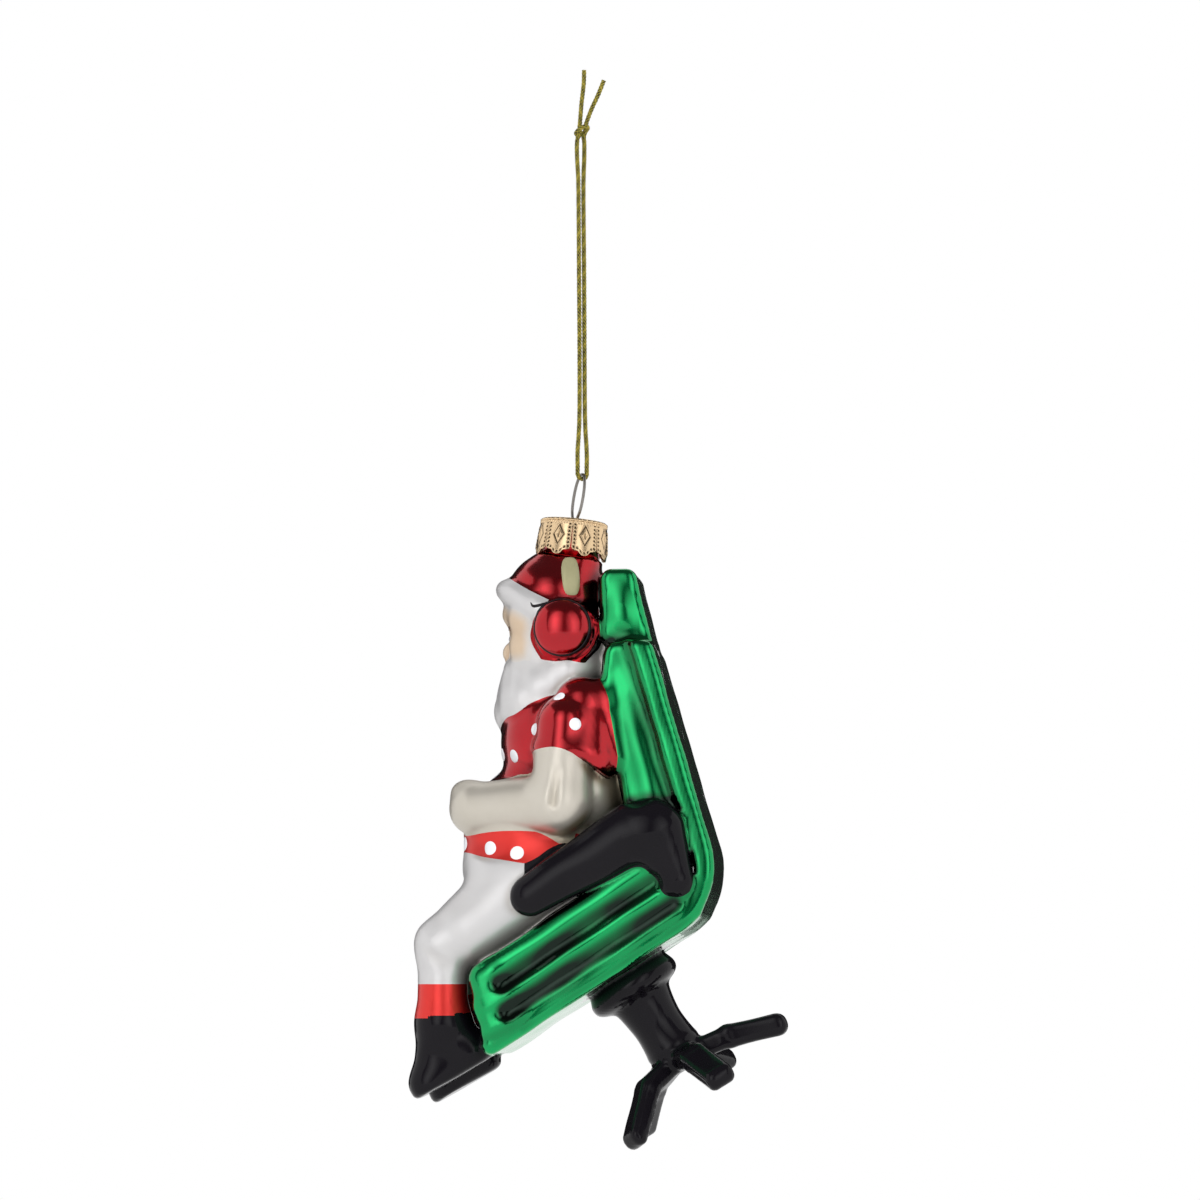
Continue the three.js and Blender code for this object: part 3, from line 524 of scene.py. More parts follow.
class NodeSheet:
    """Adds nodes and links to a node tree with short calls."""

    def __init__(self, tree: bpy.types.NodeTree) -> None:
        """Keeps the tree that nodes go into."""
        self.tree = tree

    def add(self, kind: str, inputs: dict | None = None, **settings: object) -> bpy.types.Node:
        """Adds a node.

        Args:
            kind: The node's type name.
            inputs: Values or sockets for its inputs, by name or place.
            settings: Attributes to set on the node.

        Returns:
            The node.
        """
        node = self.tree.nodes.new(kind)
        for name, value in settings.items():
            setattr(node, name, value)
        for key, value in (inputs or {}).items():
            if isinstance(value, Socket):
                self.tree.links.new(value, node.inputs[key])
            else:
                node.inputs[key].default_value = value
        return node

    def ramp(self, factor: Socket, low: float, high: float) -> Socket:
        """A factor stretched so that low gives 0 and high gives 1."""
        return self.add("ShaderNodeMapRange", {0: factor, 1: low, 2: high}).outputs[0]

    def mix(self, factor: object, first: object, second: object) -> Socket:
        """Two colours mixed by a factor."""
        return self.add("ShaderNodeMix", {0: factor, 6: first, 7: second}, data_type="RGBA").outputs[2]

    def maths(self, operation: str, first: object, second: object = 0.0, clamp: bool = False) -> Socket:
        """A sum, product or other operation on two values."""
        node = self.add("ShaderNodeMath", {0: first, 1: second}, operation=operation, use_clamp=clamp)
        return node.outputs[0]

    def noise(self, scale: Socket, detail: float) -> Socket:
        """Noise that is fixed to the object."""
        place = self.add("ShaderNodeTexCoord").outputs["Object"]
        return self.add("ShaderNodeTexNoise", {"Vector": place, "Scale": scale, "Detail": detail}).outputs[0]

    def bump(self, height: Socket, distance: float, before: Socket | None) -> Socket:
        """A normal that a height bends, on top of a normal from before."""
        inputs = {"Height": height, "Strength": 1.0, "Distance": distance}
        if before is not None:
            inputs["Normal"] = before
        return self.add("ShaderNodeBump", inputs).outputs[0]

    def seen_by(self, *rays: str) -> Socket:
        """Whether any of these kinds of ray looks."""
        kinds = self.add("ShaderNodeLightPath").outputs
        seen = kinds[f"Is {rays[0]} Ray"]
        for ray in rays[1:]:
            seen = self.maths("MAXIMUM", seen, kinds[f"Is {ray} Ray"])
        return seen


def fresh_sheet(owner: bpy.types.Material | bpy.types.World) -> NodeSheet:
    """Empties a material's or a world's nodes, and opens them."""
    owner.use_nodes = True
    owner.node_tree.nodes.clear()
    return NodeSheet(owner.node_tree)


def open_group(name: str, inputs: dict[str, float | tuple], outputs: tuple[str, ...]) -> tuple:
    """Starts a shader node group.

    Args:
        name: The group's name.
        inputs: The default value by input name, where a colour is a tuple.
        outputs: The names of the outputs, the first of which may be Colour.

    Returns:
        The group, its sheet, its input node and its output node.
    """
    group = bpy.data.node_groups.new(name, "ShaderNodeTree")
    for socket, value in inputs.items():
        kind = "NodeSocketColor" if isinstance(value, tuple) else "NodeSocketFloat"
        made = group.interface.new_socket(name=socket, in_out="INPUT", socket_type=kind)
        made.default_value = value
    for socket in outputs:
        kind = "NodeSocketColor" if socket == "Colour" else "NodeSocketFloat"
        group.interface.new_socket(name=socket, in_out="OUTPUT", socket_type=kind)
    sheet = NodeSheet(group)
    return group, sheet, sheet.add("NodeGroupInput"), sheet.add("NodeGroupOutput")


class Effects:
    """The node groups that several finishes use, each built once."""

    def __init__(self) -> None:
        """Builds the groups."""
        self.ripples = self.build_ripples()
        self.crease_shading = self.build_crease_shading()
        self.speckle = self.build_speckle()

    @staticmethod
    def build_ripples() -> bpy.types.NodeTree:
        """Long soft waves and small pulls of hand-blown glass, as a height."""
        sizes = {"Wave Scale": 90.0, "Pull Scale": 380.0, "Pull Share": 0.08}
        group, sheet, start, end = open_group("hand blown ripples", sizes, ("Height",))
        long = sheet.noise(start.outputs[0], 1.0)
        pulls = sheet.maths("MULTIPLY", sheet.noise(start.outputs[1], 2.0), start.outputs[2])
        group.links.new(sheet.maths("ADD", long, pulls), end.inputs[0])
        return group

    @staticmethod
    def build_crease_shading() -> bpy.types.NodeTree:
        """Painted shade that darkens the colour in creases and grooves, and random clouds of darker tone, as a
        colour.
        """
        # Deep Colour is the painted shade of creases and grooves, and the tone that the clouds darken towards.
        sizes = {
            "Colour": (0.5, 0.5, 0.5, 1), "Deep Colour": (0.1, 0.1, 0.1, 1),
            "Crease Strength": 0.8, "Cloud Strength": 0.2, "Cloud Scale": 120.0,
        }
        group, sheet, start, end = open_group("lacquer pooling", sizes, ("Colour", "Depth"))
        # The crease attribute mixes in the deep colour as painted shade; the clouds are random tone.
        crease = sheet.add("ShaderNodeAttribute", attribute_name="crease").outputs["Fac"]
        cloud = sheet.ramp(sheet.noise(start.outputs[4], 3.0), 0.35, 0.75)
        clouds = sheet.maths("MULTIPLY", cloud, start.outputs[3])
        depth = sheet.maths("ADD", clouds, sheet.maths("MULTIPLY", crease, start.outputs[2]), clamp=True)
        group.links.new(sheet.mix(depth, start.outputs[0], start.outputs[1]), end.inputs[0])
        group.links.new(depth, end.inputs[1])
        return group

    @staticmethod
    def build_speckle() -> bpy.types.NodeTree:
        """Fine grain of a sprayed or drawn surface, as a roughness and a height."""
        sizes = {"Roughness": 0.3, "Spread": 0.08, "Scale": 900.0}
        group, sheet, start, end = open_group("fine grain", sizes, ("Roughness", "Height"))
        grain = sheet.noise(start.outputs[2], 2.0)
        swing = sheet.maths("MULTIPLY", sheet.maths("SUBTRACT", grain, 0.5), start.outputs[1])
        group.links.new(sheet.maths("ADD", start.outputs[0], swing, clamp=True), end.inputs[0])
        group.links.new(grain, end.inputs[1])
        return group


@dataclass(frozen=True)
class Finish:
    """One finish of the ornament, as sizes and colours for its shader."""

    name: str
    slot: str
    colour: Triple
    # deep is the painted shade colour of creases and grooves, and also the tone that the random clouds darken
    # towards.
    deep: Triple
    metallic: float = 0.0
    roughness: float = 0.3
    coat: float = 0.0
    specular: float = 0.5
    # crease sets how strongly creases and grooves take that painted shade.
    crease: float = 0.8
    cloud: float = 0.15
    cloud_scale: float = 120.0
    ripple: float = 0.0
    wave_scale: float = 90.0
    grain: float = 0.05
    grain_scale: float = 900.0
    grain_height: float = 0.0
    rim_colour: Triple | None = None

    def material(self, effects: Effects) -> bpy.types.Material:
        """Builds the finish once and returns it from then on.

        Args:
            effects: The shared node groups.

        Returns:
            The material.
        """
        made = bpy.data.materials.get(self.name)
        if made:
            return made
        made = bpy.data.materials.new(self.name)
        sheet = fresh_sheet(made)
        # Painted shade in creases, and random clouds, darken the colour here.
        pool = sheet.add(
            "ShaderNodeGroup",
            {0: (*self.colour, 1), 1: (*self.deep, 1), 2: self.crease, 3: self.cloud, 4: self.cloud_scale},
            node_tree=effects.crease_shading,
        )
        grain = sheet.add(
            "ShaderNodeGroup",
            {0: self.roughness, 1: self.grain, 2: self.grain_scale},
            node_tree=effects.speckle,
        )
        colour = pool.outputs[0]
        if self.rim_colour:
            nearness = sheet.add("ShaderNodeAttribute", attribute_name="rim").outputs["Fac"]
            colour = sheet.mix(sheet.ramp(nearness, 0.0, 1.0), colour, (*self.rim_colour, 1))
        inputs = {
            "Base Color": colour,
            "Roughness": grain.outputs[0],
            "Metallic": self.metallic,
            "Specular IOR Level": self.specular,
            "Coat Weight": self.coat,
            "Coat Roughness": 0.03,
            "Coat IOR": 1.5,
        }
        normal = None
        if self.ripple:
            waves = sheet.add("ShaderNodeGroup", {0: self.wave_scale}, node_tree=effects.ripples)
            normal = sheet.bump(waves.outputs[0], self.ripple, normal)
        if self.grain_height:
            normal = sheet.bump(grain.outputs[1], self.grain_height, normal)
        if normal is not None:
            inputs["Normal"] = normal
        shader = sheet.add("ShaderNodeBsdfPrincipled", inputs)
        sheet.add("ShaderNodeOutputMaterial", {0: shader.outputs[0]})
        return made


# The second colour of each finish is its painted shade in creases and grooves.
RED = Finish(
    "red mirror lacquer", "red_lacquer", (0.52, 0.012, 0.02), (0.1, 0.001, 0.006),
    metallic=1.0, roughness=0.2, coat=0.55, cloud=0.3, cloud_scale=70.0, ripple=0.00006, grain=0.0,
)
# The pad's near black second colour, at full crease strength, paints the shade in the groove round the ear cup.
PAD_RED = Finish(
    "dark red mirror lacquer", "red_lacquer", (0.5, 0.008, 0.015), (0.006, 0.002, 0.003),
    metallic=1.0, roughness=0.16, coat=0.2, crease=1.0, cloud=0.0,
)
SCARLET = Finish(
    "scarlet satin lacquer", "scarlet_lacquer", (0.72, 0.035, 0.028), (0.3, 0.008, 0.008),
    metallic=0.6, roughness=0.33, coat=0.1, ripple=0.0001,
)
GREEN = Finish(
    "green mirror lacquer", "green_lacquer", (0.002, 0.4, 0.11), (0.0, 0.01, 0.004),
    metallic=1.0, roughness=0.17, coat=0.45, crease=0.95, cloud=0.3, cloud_scale=55.0,
    ripple=0.00006, wave_scale=45.0, grain=0.0,
)
PEARL = Finish(
    "pearl white satin lacquer", "pearl_lacquer", (0.63, 0.62, 0.62), (0.42, 0.39, 0.35),
    metallic=0.6, roughness=0.42, crease=0.6, cloud=0.1, grain_height=0.00001,
)
CREAM = Finish(
    "pearl cream satin lacquer", "cream_lacquer", (0.6, 0.56, 0.49), (0.3, 0.25, 0.17),
    metallic=0.65, roughness=0.38, crease=0.9, grain_height=0.00001,
)
SKIN = Finish(
    "warm satin lacquer", "skin_lacquer", (0.66, 0.52, 0.38), (0.42, 0.26, 0.15),
    metallic=0.6, roughness=0.42, crease=0.9, rim_colour=(0.63, 0.605, 0.58),
)
OLIVE = Finish(
    "pale gold satin lacquer", "olive_lacquer", (0.34, 0.32, 0.18), (0.2, 0.19, 0.09),
    metallic=0.2, roughness=0.42, crease=0.0, cloud=0.4, grain=0.1,
)
BLACK = Finish(
    "black gloss lacquer", "black_lacquer", (0.006, 0.005, 0.007), (0.002, 0.002, 0.003),
    roughness=0.13, specular=0.16, cloud=0.3, ripple=0.00003,
)
LINE_BLACK = Finish(
    "black line paint", "black_lacquer", (0.008, 0.006, 0.008), (0.004, 0.004, 0.004),
    roughness=0.3, specular=0.3,
)
BROWN = Finish("brown line paint", "black_lacquer", (0.1, 0.04, 0.02), (0.05, 0.02, 0.01), roughness=0.4)
DOT_WHITE = Finish(
    "white raised paint", "pearl_lacquer", (0.76, 0.77, 0.8), (0.6, 0.6, 0.62),
    roughness=0.45, cloud=0.4, grain=0.12, grain_height=0.00004,
)
# The stamped dents take the dark second colour as painted shade.
BRASS = Finish(
    "gilt stamped sheet", "stamped_brass", (0.86, 0.63, 0.38), (0.05, 0.028, 0.012),
    metallic=1.0, roughness=0.24, crease=1.0, cloud=0.1, grain=0.1, grain_height=0.00001,
)
STEEL = Finish(
    "drawn steel wire", "steel_wire", (0.3, 0.28, 0.26), (0.1, 0.09, 0.08),
    metallic=1.0, roughness=0.32, cloud=0.3, grain=0.1,
)
GOLD_YARN = Finish(
    "gold metallic yarn", "braided_cord", (0.5, 0.4, 0.07), (0.2, 0.16, 0.02),
    metallic=0.8, roughness=0.36, cloud=0.5,
)
OLIVE_YARN = Finish(
    "olive yarn", "braided_cord", (0.13, 0.14, 0.02), (0.05, 0.06, 0.01),
    metallic=0.4, roughness=0.5, cloud=0.5,
)
DARK_YARN = Finish(
    "dark yarn", "braided_cord", (0.018, 0.018, 0.008), (0.008, 0.008, 0.004),
    metallic=0.2, roughness=0.55, cloud=0.5,
)


# Meshes


def put(name: str, data: bpy.types.ID) -> bpy.types.Object:
    """Adds an object to the scene."""
    placed = bpy.data.objects.new(name, data)
    bpy.context.scene.collection.objects.link(placed)
    return placed


def make_piece(
    name: str,
    points: Array,
    faces: list | Array,
    body: Body,
    finishes: list[Finish],
    effects: Effects,
    replaces: tuple[str, ...] = (),
    crease: Array | None = None,
    rim: Array | None = None,
    normals: Array | None = None,
    face_finish: Array | None = None,
    ride: bool = True,
) -> bpy.types.Object:
    """Makes a smooth mesh piece and puts it on its body.

    Args:
        name: The piece's name.
        points: Its points in millimetres, one a row.
        faces: Its faces, as rows of point numbers.
        body: The body that it rides on.
        finishes: Its finishes, one material each.
        effects: The shared node groups.
        replaces: The CAD nodes that it stands for.
        crease: How much painted shade each point takes, by its depth in a crease or groove, from 0 to 1.
        rim: How near the border of its lacquer each point is, from 0 to 1.
        normals: A normal for each point, where the mesh has its own.
        face_finish: The number of each face's finish.
        ride: Whether the piece rides on its body at once.

    Returns:
        The piece.
    """
    mesh = bpy.data.meshes.new(name)
    rows = faces.tolist() if isinstance(faces, np.ndarray) else faces
    mesh.from_pydata((np.asarray(points, float) * MM).tolist(), [], rows)
    mesh.polygons.foreach_set("use_smooth", np.ones(len(mesh.polygons), bool))
    # The crease attribute carries each point's painted crease shade to its finish.
    depth = mesh.attributes.new("crease", "FLOAT", "POINT")
    held = np.zeros(len(points)) if crease is None else crease
    depth.data.foreach_set("value", np.asarray(held, np.float32))
    if rim is not None:
        nearness = mesh.attributes.new("rim", "FLOAT", "POINT")
        nearness.data.foreach_set("value", np.asarray(rim, np.float32))
    for finish in finishes:
        mesh.materials.append(finish.material(effects))
    if face_finish is not None:
        mesh.polygons.foreach_set("material_index", np.asarray(face_finish, np.int32))
    mesh.update()
    if normals is not None:
        mesh.normals_split_custom_set_from_vertices(normals.tolist())
    piece = put(name, mesh)
    if ride:
        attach(piece, body.value)
    if replaces:
        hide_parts(*replaces)
    LOG.info("%s: %d faces", name, len(mesh.polygons))
    return piece


def quads_between(rows: int, steps: int, loop: bool = False) -> list[tuple[int, ...]]:
    """Quads between rows of points.

    Args:
        rows: How many rows there are.
        steps: How many points each row has, which close to a ring.
        loop: Whether the last row joins the first.

    Returns:
        The quads, as point numbers.
    """
    faces = []
    for i in range(rows if loop else rows - 1):
        a, b = i * steps, (i + 1) % rows * steps
        for k in range(steps):
            m = (k + 1) % steps
            faces.append((a + k, a + m, b + m, b + k))
    return faces


def renumbered(faces: list, start: int) -> list[tuple[int, ...]]:
    """Faces whose point numbers count on from a start."""
    return [tuple(n + start for n in face) for face in faces]


def sweep(path: Array, radius: float, sides: int) -> tuple[Array, list]:
    """A round tube along a path, with closed ends.

    Args:
        path: The points that it follows, one a row.
        radius: Its radius.
        sides: How many sides it has.

    Returns:
        The tube's points and faces.
    """
    path = np.asarray(path, float)
    tangents = np.gradient(path, axis=0)
    tangents /= np.linalg.norm(tangents, axis=1)[:, None]
    start = np.cross(tangents[0], (0.0, 0.0, 1.0) if abs(tangents[0][2]) < 0.9 else (1.0, 0.0, 0.0))
    start /= np.linalg.norm(start)
    rings = []
    turn = 2 * np.pi * np.arange(sides) / sides
    for point, tangent in zip(path, tangents):
        start = start - tangent * (start @ tangent)
        start /= np.linalg.norm(start)
        other = np.cross(tangent, start)
        rings.append(point + radius * (np.outer(np.cos(turn), start) + np.outer(np.sin(turn), other)))
    points = np.vstack([*rings, path[:1], path[-1:]])
    faces = quads_between(len(path), sides)
    foot, top = len(path) * sides, len(path) * sides + 1
    last = (len(path) - 1) * sides
    for k in range(sides):
        faces.append((foot, (k + 1) % sides, k))
        faces.append((top, last + k, last + (k + 1) % sides))
    return points, faces


def lathe(profile: Array, steps: int, placing: Placing) -> tuple[Array, list]:
    """A closed profile of radius and height, turned about the Z axis of a frame."""
    profile = np.asarray(profile, float)
    turn = 2 * np.pi * np.arange(steps) / steps
    rings = [np.stack([r * np.cos(turn), r * np.sin(turn), np.full(steps, z)], axis=1) for r, z in profile]
    return placing.world(np.vstack(rings)), quads_between(len(profile), steps, loop=True)


# Blown glass


@dataclass
class Zone:
    """A zone of lacquer on the blown shell, which stands for one CAD node."""

    node: str
    finish: Finish
    forms: tuple[Form, ...]
    limits: tuple[Field, ...] = ()
    fade: float = 0.0

    def claim(self, x: Array, y: Array, z: Array) -> Array:
        """How far points are from this zone, negative in it."""
        near = self.forms[0](x, y, z)
        for form in self.forms[1:]:
            near = np.minimum(near, form(x, y, z))
        for limit in self.limits:
            near = np.maximum(near, limit(x, y, z))
        return near


@dataclass
class BlownShell:
    """The blown glass: forms that flow into one another, and zones of lacquer on their common surface."""

    step: float = 0.55
    margin: float = 3.5
    wall: float = 0.7
    wave: float = 0.05
    # How far the crease test reaches, and how it is scaled to the painted shade in creases.
    crease_reach: float = 1.9
    crease_gain: float = 1.7
    crease_floor: float = 0.12
    forms: list[tuple[Form, float]] = field(default_factory=list)
    cuts: list[tuple[Form, float]] = field(default_factory=list)
    shade_forms: list[tuple[Form, float]] = field(default_factory=list)
    zones: list[Zone] = field(default_factory=list)

    def add(self, form: Form, soft: float) -> None:
        """Adds a form that flows into those before it over a width of soft."""
        self.forms.append((form, soft))

    def groove(self, form: Form, soft: float) -> None:
        """Presses a form into the surface, with edges rounded over a width of soft."""
        self.cuts.append((form, soft))

    def pool(self, form: Form, depth: float) -> None:
        """Paints shade into the colour inside a form, fully so at a depth in it."""
        self.shade_forms.append((form, depth))

    def waves(self, x: Array, y: Array, z: Array) -> Array:
        """The long swell of hand-blown glass."""
        swell = np.sin(0.31 * x + 0.23 * y + 0.37 * z) + np.sin(0.19 * x - 0.41 * y + 0.27 * z + 2.0)
        return self.wave * (swell + np.sin(0.47 * y + 0.12 * z + 0.9) + 0.6 * np.sin(0.8 * z - 0.3 * x))

    def distance(self, points: Array) -> Array:
        """The distance from the whole surface.

        Args:
            points: The points, one a row.

        Returns:
            Their distances, negative inside.
        """
        x, y, z = points.T
        whole = np.full(len(points), FAR)
        for form, soft in self.forms:
            low, high = form.box()
            near = ((points > low - self.margin) & (points < high + self.margin)).all(1)
            if near.any():
                whole[near] = merge(whole[near], form(x[near], y[near], z[near]), soft)
        for form, soft in self.cuts:
            whole = carve(whole, -form(x, y, z), soft)
        return whole + self.waves(x, y, z)

    def sample(self, low: Array, shape: tuple[int, ...]) -> Array:
        """The distances from the whole surface on a grid.

        Args:
            low: The grid's low corner.
            shape: How many points it has each way.

        Returns:
            The distances, as a block of that shape.
        """
        axes = [low[i] + self.step * np.arange(shape[i]) for i in range(3)]
        whole = np.full(shape, FAR)

        def part(form: Form) -> tuple:
            """The grid's slices and coordinates round a form."""
            foot, top = form.box()
            first = [max(0, int((foot[i] - self.margin - low[i]) / self.step)) for i in range(3)]
            last = [min(shape[i], int((top[i] + self.margin - low[i]) / self.step) + 2) for i in range(3)]
            cells = tuple(slice(a, b) for a, b in zip(first, last))
            x, y, z = (axes[i][cells[i]] for i in range(3))
            return cells, (x[:, None, None], y[None, :, None], z[None, None, :])

        for form, soft in self.forms:
            cells, place = part(form)
            whole[cells] = merge(whole[cells], form(*place), soft)
        for form, soft in self.cuts:
            cells, place = part(form)
            whole[cells] = carve(whole[cells], -form(*place), soft)
        return whole + self.waves(axes[0][:, None, None], axes[1][None, :, None], axes[2][None, None, :])

    def net(self) -> TwoArrays:
        """Lays a net of quads over the surface.

        Returns:
            Points in millimetres and quads.
        """
        boxes = [form.box() for form, _ in self.forms]
        low = np.min([box[0] for box in boxes], axis=0) - 2
        high = np.max([box[1] for box in boxes], axis=0) + 2
        shape = tuple(int(n) for n in np.ceil((high - low) / self.step) + 1)
        values = self.sample(low, shape)
        inside = values < 0
        corners = list(product((0, 1), repeat=3))
        filled = sum(
            inside[i : shape[0] - 1 + i, j : shape[1] - 1 + j, k : shape[2] - 1 + k].astype(np.int8)
            for i, j, k in corners
        )
        active = (filled > 0) & (filled < 8)
        number = np.full(active.shape, -1)
        number[active] = np.arange(active.sum())
        cells = np.argwhere(active)
        total, crossings = np.zeros((len(cells), 3)), np.zeros(len(cells))
        for a in corners:
            for axis in range(3):
                if a[axis]:
                    continue
                b = tuple(v + (i == axis) for i, v in enumerate(a))
                va = values[tuple((cells + a).T)]
                vb = values[tuple((cells + b).T)]
                crossed = (va < 0) != (vb < 0)
                t = va[crossed] / (va[crossed] - vb[crossed])
                spot = np.array(a, float) + t[:, None] * (np.array(b) - a)
                total[crossed] += spot
                crossings[crossed] += 1
        points = low + self.step * (cells + total / crossings[:, None])
        quads = []
        for axis in range(3):
            u, v = (axis + 1) % 3, (axis + 2) % 3
            near = [slice(1, -1)] * 3
            near[axis] = slice(0, -1)
            ahead = list(near)
            ahead[axis] = slice(1, None)
            first, second = inside[tuple(near)], inside[tuple(ahead)]
            spots = np.argwhere(first != second)
            leaves = first[tuple(spots.T)]
            base = spots + np.array([0 if i == axis else 1 for i in range(3)])
            shift = np.eye(3, dtype=int)
            ring = [base, base - shift[u], base - shift[u] - shift[v], base - shift[v]]
            quad = np.stack([number[tuple(c.T)] for c in ring], axis=1)
            quad[~leaves] = quad[~leaves][:, ::-1]
            quads.append(quad)
        return points, np.vstack(quads)

    def gradient(self, points: Array) -> TwoArrays:
        """The distance of points and the slope of the distance there."""
        reach = 0.05
        ways = np.array([(1, -1, -1), (-1, -1, 1), (-1, 1, -1), (1, 1, 1)], float)
        values = [self.distance(points + reach * way) for way in ways]
        slope = sum(np.outer(value, way) for value, way in zip(values, ways)) / (4 * reach)
        return sum(values) / 4, slope

    def settle(self, points: Array, rounds: int = 3) -> TwoArrays:
        """Moves points onto the surface.

        Args:
            points: Points near the surface, one a row.
            rounds: How often they move.

        Returns:
            The points on the surface and the normals there.
        """
        slope = None
        for _ in range(rounds):
            value, slope = self.gradient(points)
            steep = np.maximum((slope**2).sum(1), 0.2)
            points = points - slope * np.clip(value / steep, -0.4, 0.4)[:, None]
        return points, slope / np.linalg.norm(slope, axis=1)[:, None]

    def blow(self) -> tuple[Array, Array, Array, Array]:
        """Makes the whole surface.

        Returns:
            Points, triangles, normals and how much painted shade each point takes in creases and grooves.
        """
        points, quads = self.net()
        points, _ = self.settle(points)
        triangles = np.vstack([quads[:, (0, 1, 2)], quads[:, (0, 2, 3)]])
        corners = points[triangles]
        facing = np.cross(corners[:, 1] - corners[:, 0], corners[:, 2] - corners[:, 0])
        normals = np.zeros_like(points)
        for i in range(3):
            np.add.at(normals, triangles[:, i], facing)
        normals /= np.maximum(np.linalg.norm(normals, axis=1), 1e-9)[:, None]
        # Points whose offset along the normal comes near other surface lie in creases and take painted shade
        # there.
        reach = self.crease_reach
        crease = np.clip(1 - self.distance(points + normals * reach) / reach, 0, 1)
        crease = np.clip(crease * self.crease_gain - self.crease_floor, 0, 1)
        for form, depth in self.shade_forms:
            crease = np.maximum(crease, np.clip(-form(*points.T) / depth, 0, 1))
        return points, triangles, normals, crease

    def pieces(self, effects: Effects) -> dict[str, bpy.types.Object]:
        """Makes a piece of each zone, as a shell of glass of its own.

        Args:
            effects: The shared node groups.

        Returns:
            The pieces by node name.
        """
        points, triangles, normals, crease = self.blow()
        x, y, z = points.T
        claims = np.stack([zone.claim(x, y, z) for zone in self.zones], axis=1)
        columns = np.hstack([points, normals, crease[:, None], claims])
        made = {}
        for i, zone in enumerate(self.zones):
            if i < len(self.zones) - 1:
                own = columns[:, 7 + i]
                others = columns[:, 8 + i :].min(1)
                columns, mine, triangles = divide(columns, triangles, others - own)
            else:
                mine = triangles
            if len(mine):
                made[zone.node] = self.shell(zone, columns, mine, effects)
            else:
                LOG.warning("%s has no surface", zone.node)
        return made

    def shell(self, zone: Zone, columns: Array, triangles: Array, effects: Effects) -> bpy.types.Object:
        """Gives a zone's surface the thickness of the glass, and closes it.

        Args:
            zone: The zone.
            columns: Place, normal, painted crease shade and claims of each point.
            triangles: The zone's triangles.
            effects: The shared node groups.

        Returns:
            The piece.
        """
        used, faces = np.unique(triangles, return_inverse=True)
        faces = faces.reshape(-1, 3)
        outer, normals, crease = columns[used, :3], columns[used, 3:6], columns[used, 6]
        border = None
        if zone.fade:
            claims, own = columns[used, 7:], self.zones.index(zone)
            lead = np.delete(claims, own, axis=1).min(1) - claims[:, own]
            border = np.tile(np.clip(1 - lead / zone.fade, 0, 1), 2)
        normals = normals / np.maximum(np.linalg.norm(normals, axis=1), 1e-9)[:, None]
        count = len(used)
        edges = np.vstack([faces[:, (0, 1)], faces[:, (1, 2)], faces[:, (2, 0)]])
        keys = edges[:, 0] * count + edges[:, 1]
        mirrored = edges[:, 1] * count + edges[:, 0]
        rim = edges[~np.isin(keys, mirrored)]
        walls = np.stack([rim[:, 1], rim[:, 0], rim[:, 0] + count, rim[:, 1] + count], axis=1)
        rows = [*faces.tolist(), *(faces[:, ::-1] + count).tolist(), *walls.tolist()]
        points = np.vstack([outer, outer - normals * self.wall])
        return make_piece(
            f"{zone.node}_glass", points, rows, Body.GLASS, [zone.finish], effects, replaces=(zone.node,),
            crease=np.hstack([crease, crease]), rim=border, normals=np.vstack([normals, -normals]),
        )


def divide(columns: Array, triangles: Array, values: Array) -> tuple[Array, Array, Array]:
    """Cuts triangles along the line where a value is zero.

    Args:
        columns: Numbers of each point, which a new point takes in proportion.
        triangles: Rows of three point numbers.
        values: The value at each point.

    Returns:
        The columns with the new points, the triangles above zero and those below.
    """
    values = np.where(np.abs(values) < 1e-6, 1e-6, values)
    above = values[triangles] > 0
    count = above.sum(1)
    high, low = [triangles[count == 3]], [triangles[count == 0]]
    mixed, signs = triangles[(count == 1) | (count == 2)], above[(count == 1) | (count == 2)]
    lone_sign = signs.sum(1) == 1
    lone = np.argmax(signs == lone_sign[:, None], axis=1)
    rows = np.arange(len(mixed))
    a, b, c = mixed[rows, lone], mixed[rows, (lone + 1) % 3], mixed[rows, (lone + 2) % 3]
    pairs = np.sort(np.vstack([np.stack([a, b], 1), np.stack([a, c], 1)]), axis=1)
    unique, place = np.unique(pairs, axis=0, return_inverse=True)
    place = place.reshape(-1)
    first, second = values[unique[:, 0]], values[unique[:, 1]]
    share = np.clip(first / (first - second), 0.02, 0.98)[:, None]
    added = columns[unique[:, 0]] * (1 - share) + columns[unique[:, 1]] * share
    ab, ac = len(columns) + place[: len(mixed)], len(columns) + place[len(mixed) :]
    tip = np.stack([a, ab, ac], axis=1)
    rest = np.vstack([np.stack([ab, b, c], axis=1), np.stack([ab, c, ac], axis=1)])
    twice = np.hstack([lone_sign, lone_sign])
    high += [tip[lone_sign], rest[~twice]]
    low += [tip[~lone_sign], rest[twice]]
    return np.vstack([columns, added]), np.vstack(high), np.vstack(low)


def mirrored(point: Triple, side: int, drop: float = 0.0) -> Triple:
    """A point of the left side on the side asked for, lowered by a drop."""
    return (point[0] * side, point[1], point[2] - drop)


def limb(side: int, start: Triple, end: Triple, *sizes: float, drop: float = 0.0) -> Limb:
    """A limb of the left side on the side asked for, lowered by a drop."""
    return Limb(mirrored(start, side, drop), mirrored(end, side, drop), *sizes)


def two_limbs(start: Triple, end: Triple, *sizes: float) -> list[Limb]:
    """The same limb on both sides."""
    return [limb(side, start, end, *sizes) for side, _ in SIDES]


def two_balls(centre: Triple, radii: Triple) -> list[Ball]:
    """The same ball on both sides."""
    return [Ball(mirrored(centre, side), radii) for side, _ in SIDES]


def inside_of(side: int, x: float = 0.0) -> Side:
    """A limit that cuts off what is nearer the middle than x, and all of the other side."""
    return Side((x * side, 0.0, 0.0), (-float(side), 0.0, 0.0))


def under(height: float) -> Side:
    """A limit that cuts off what is under a height."""
    return Side((0.0, 0.0, height), (0.0, 0.0, -1.0))


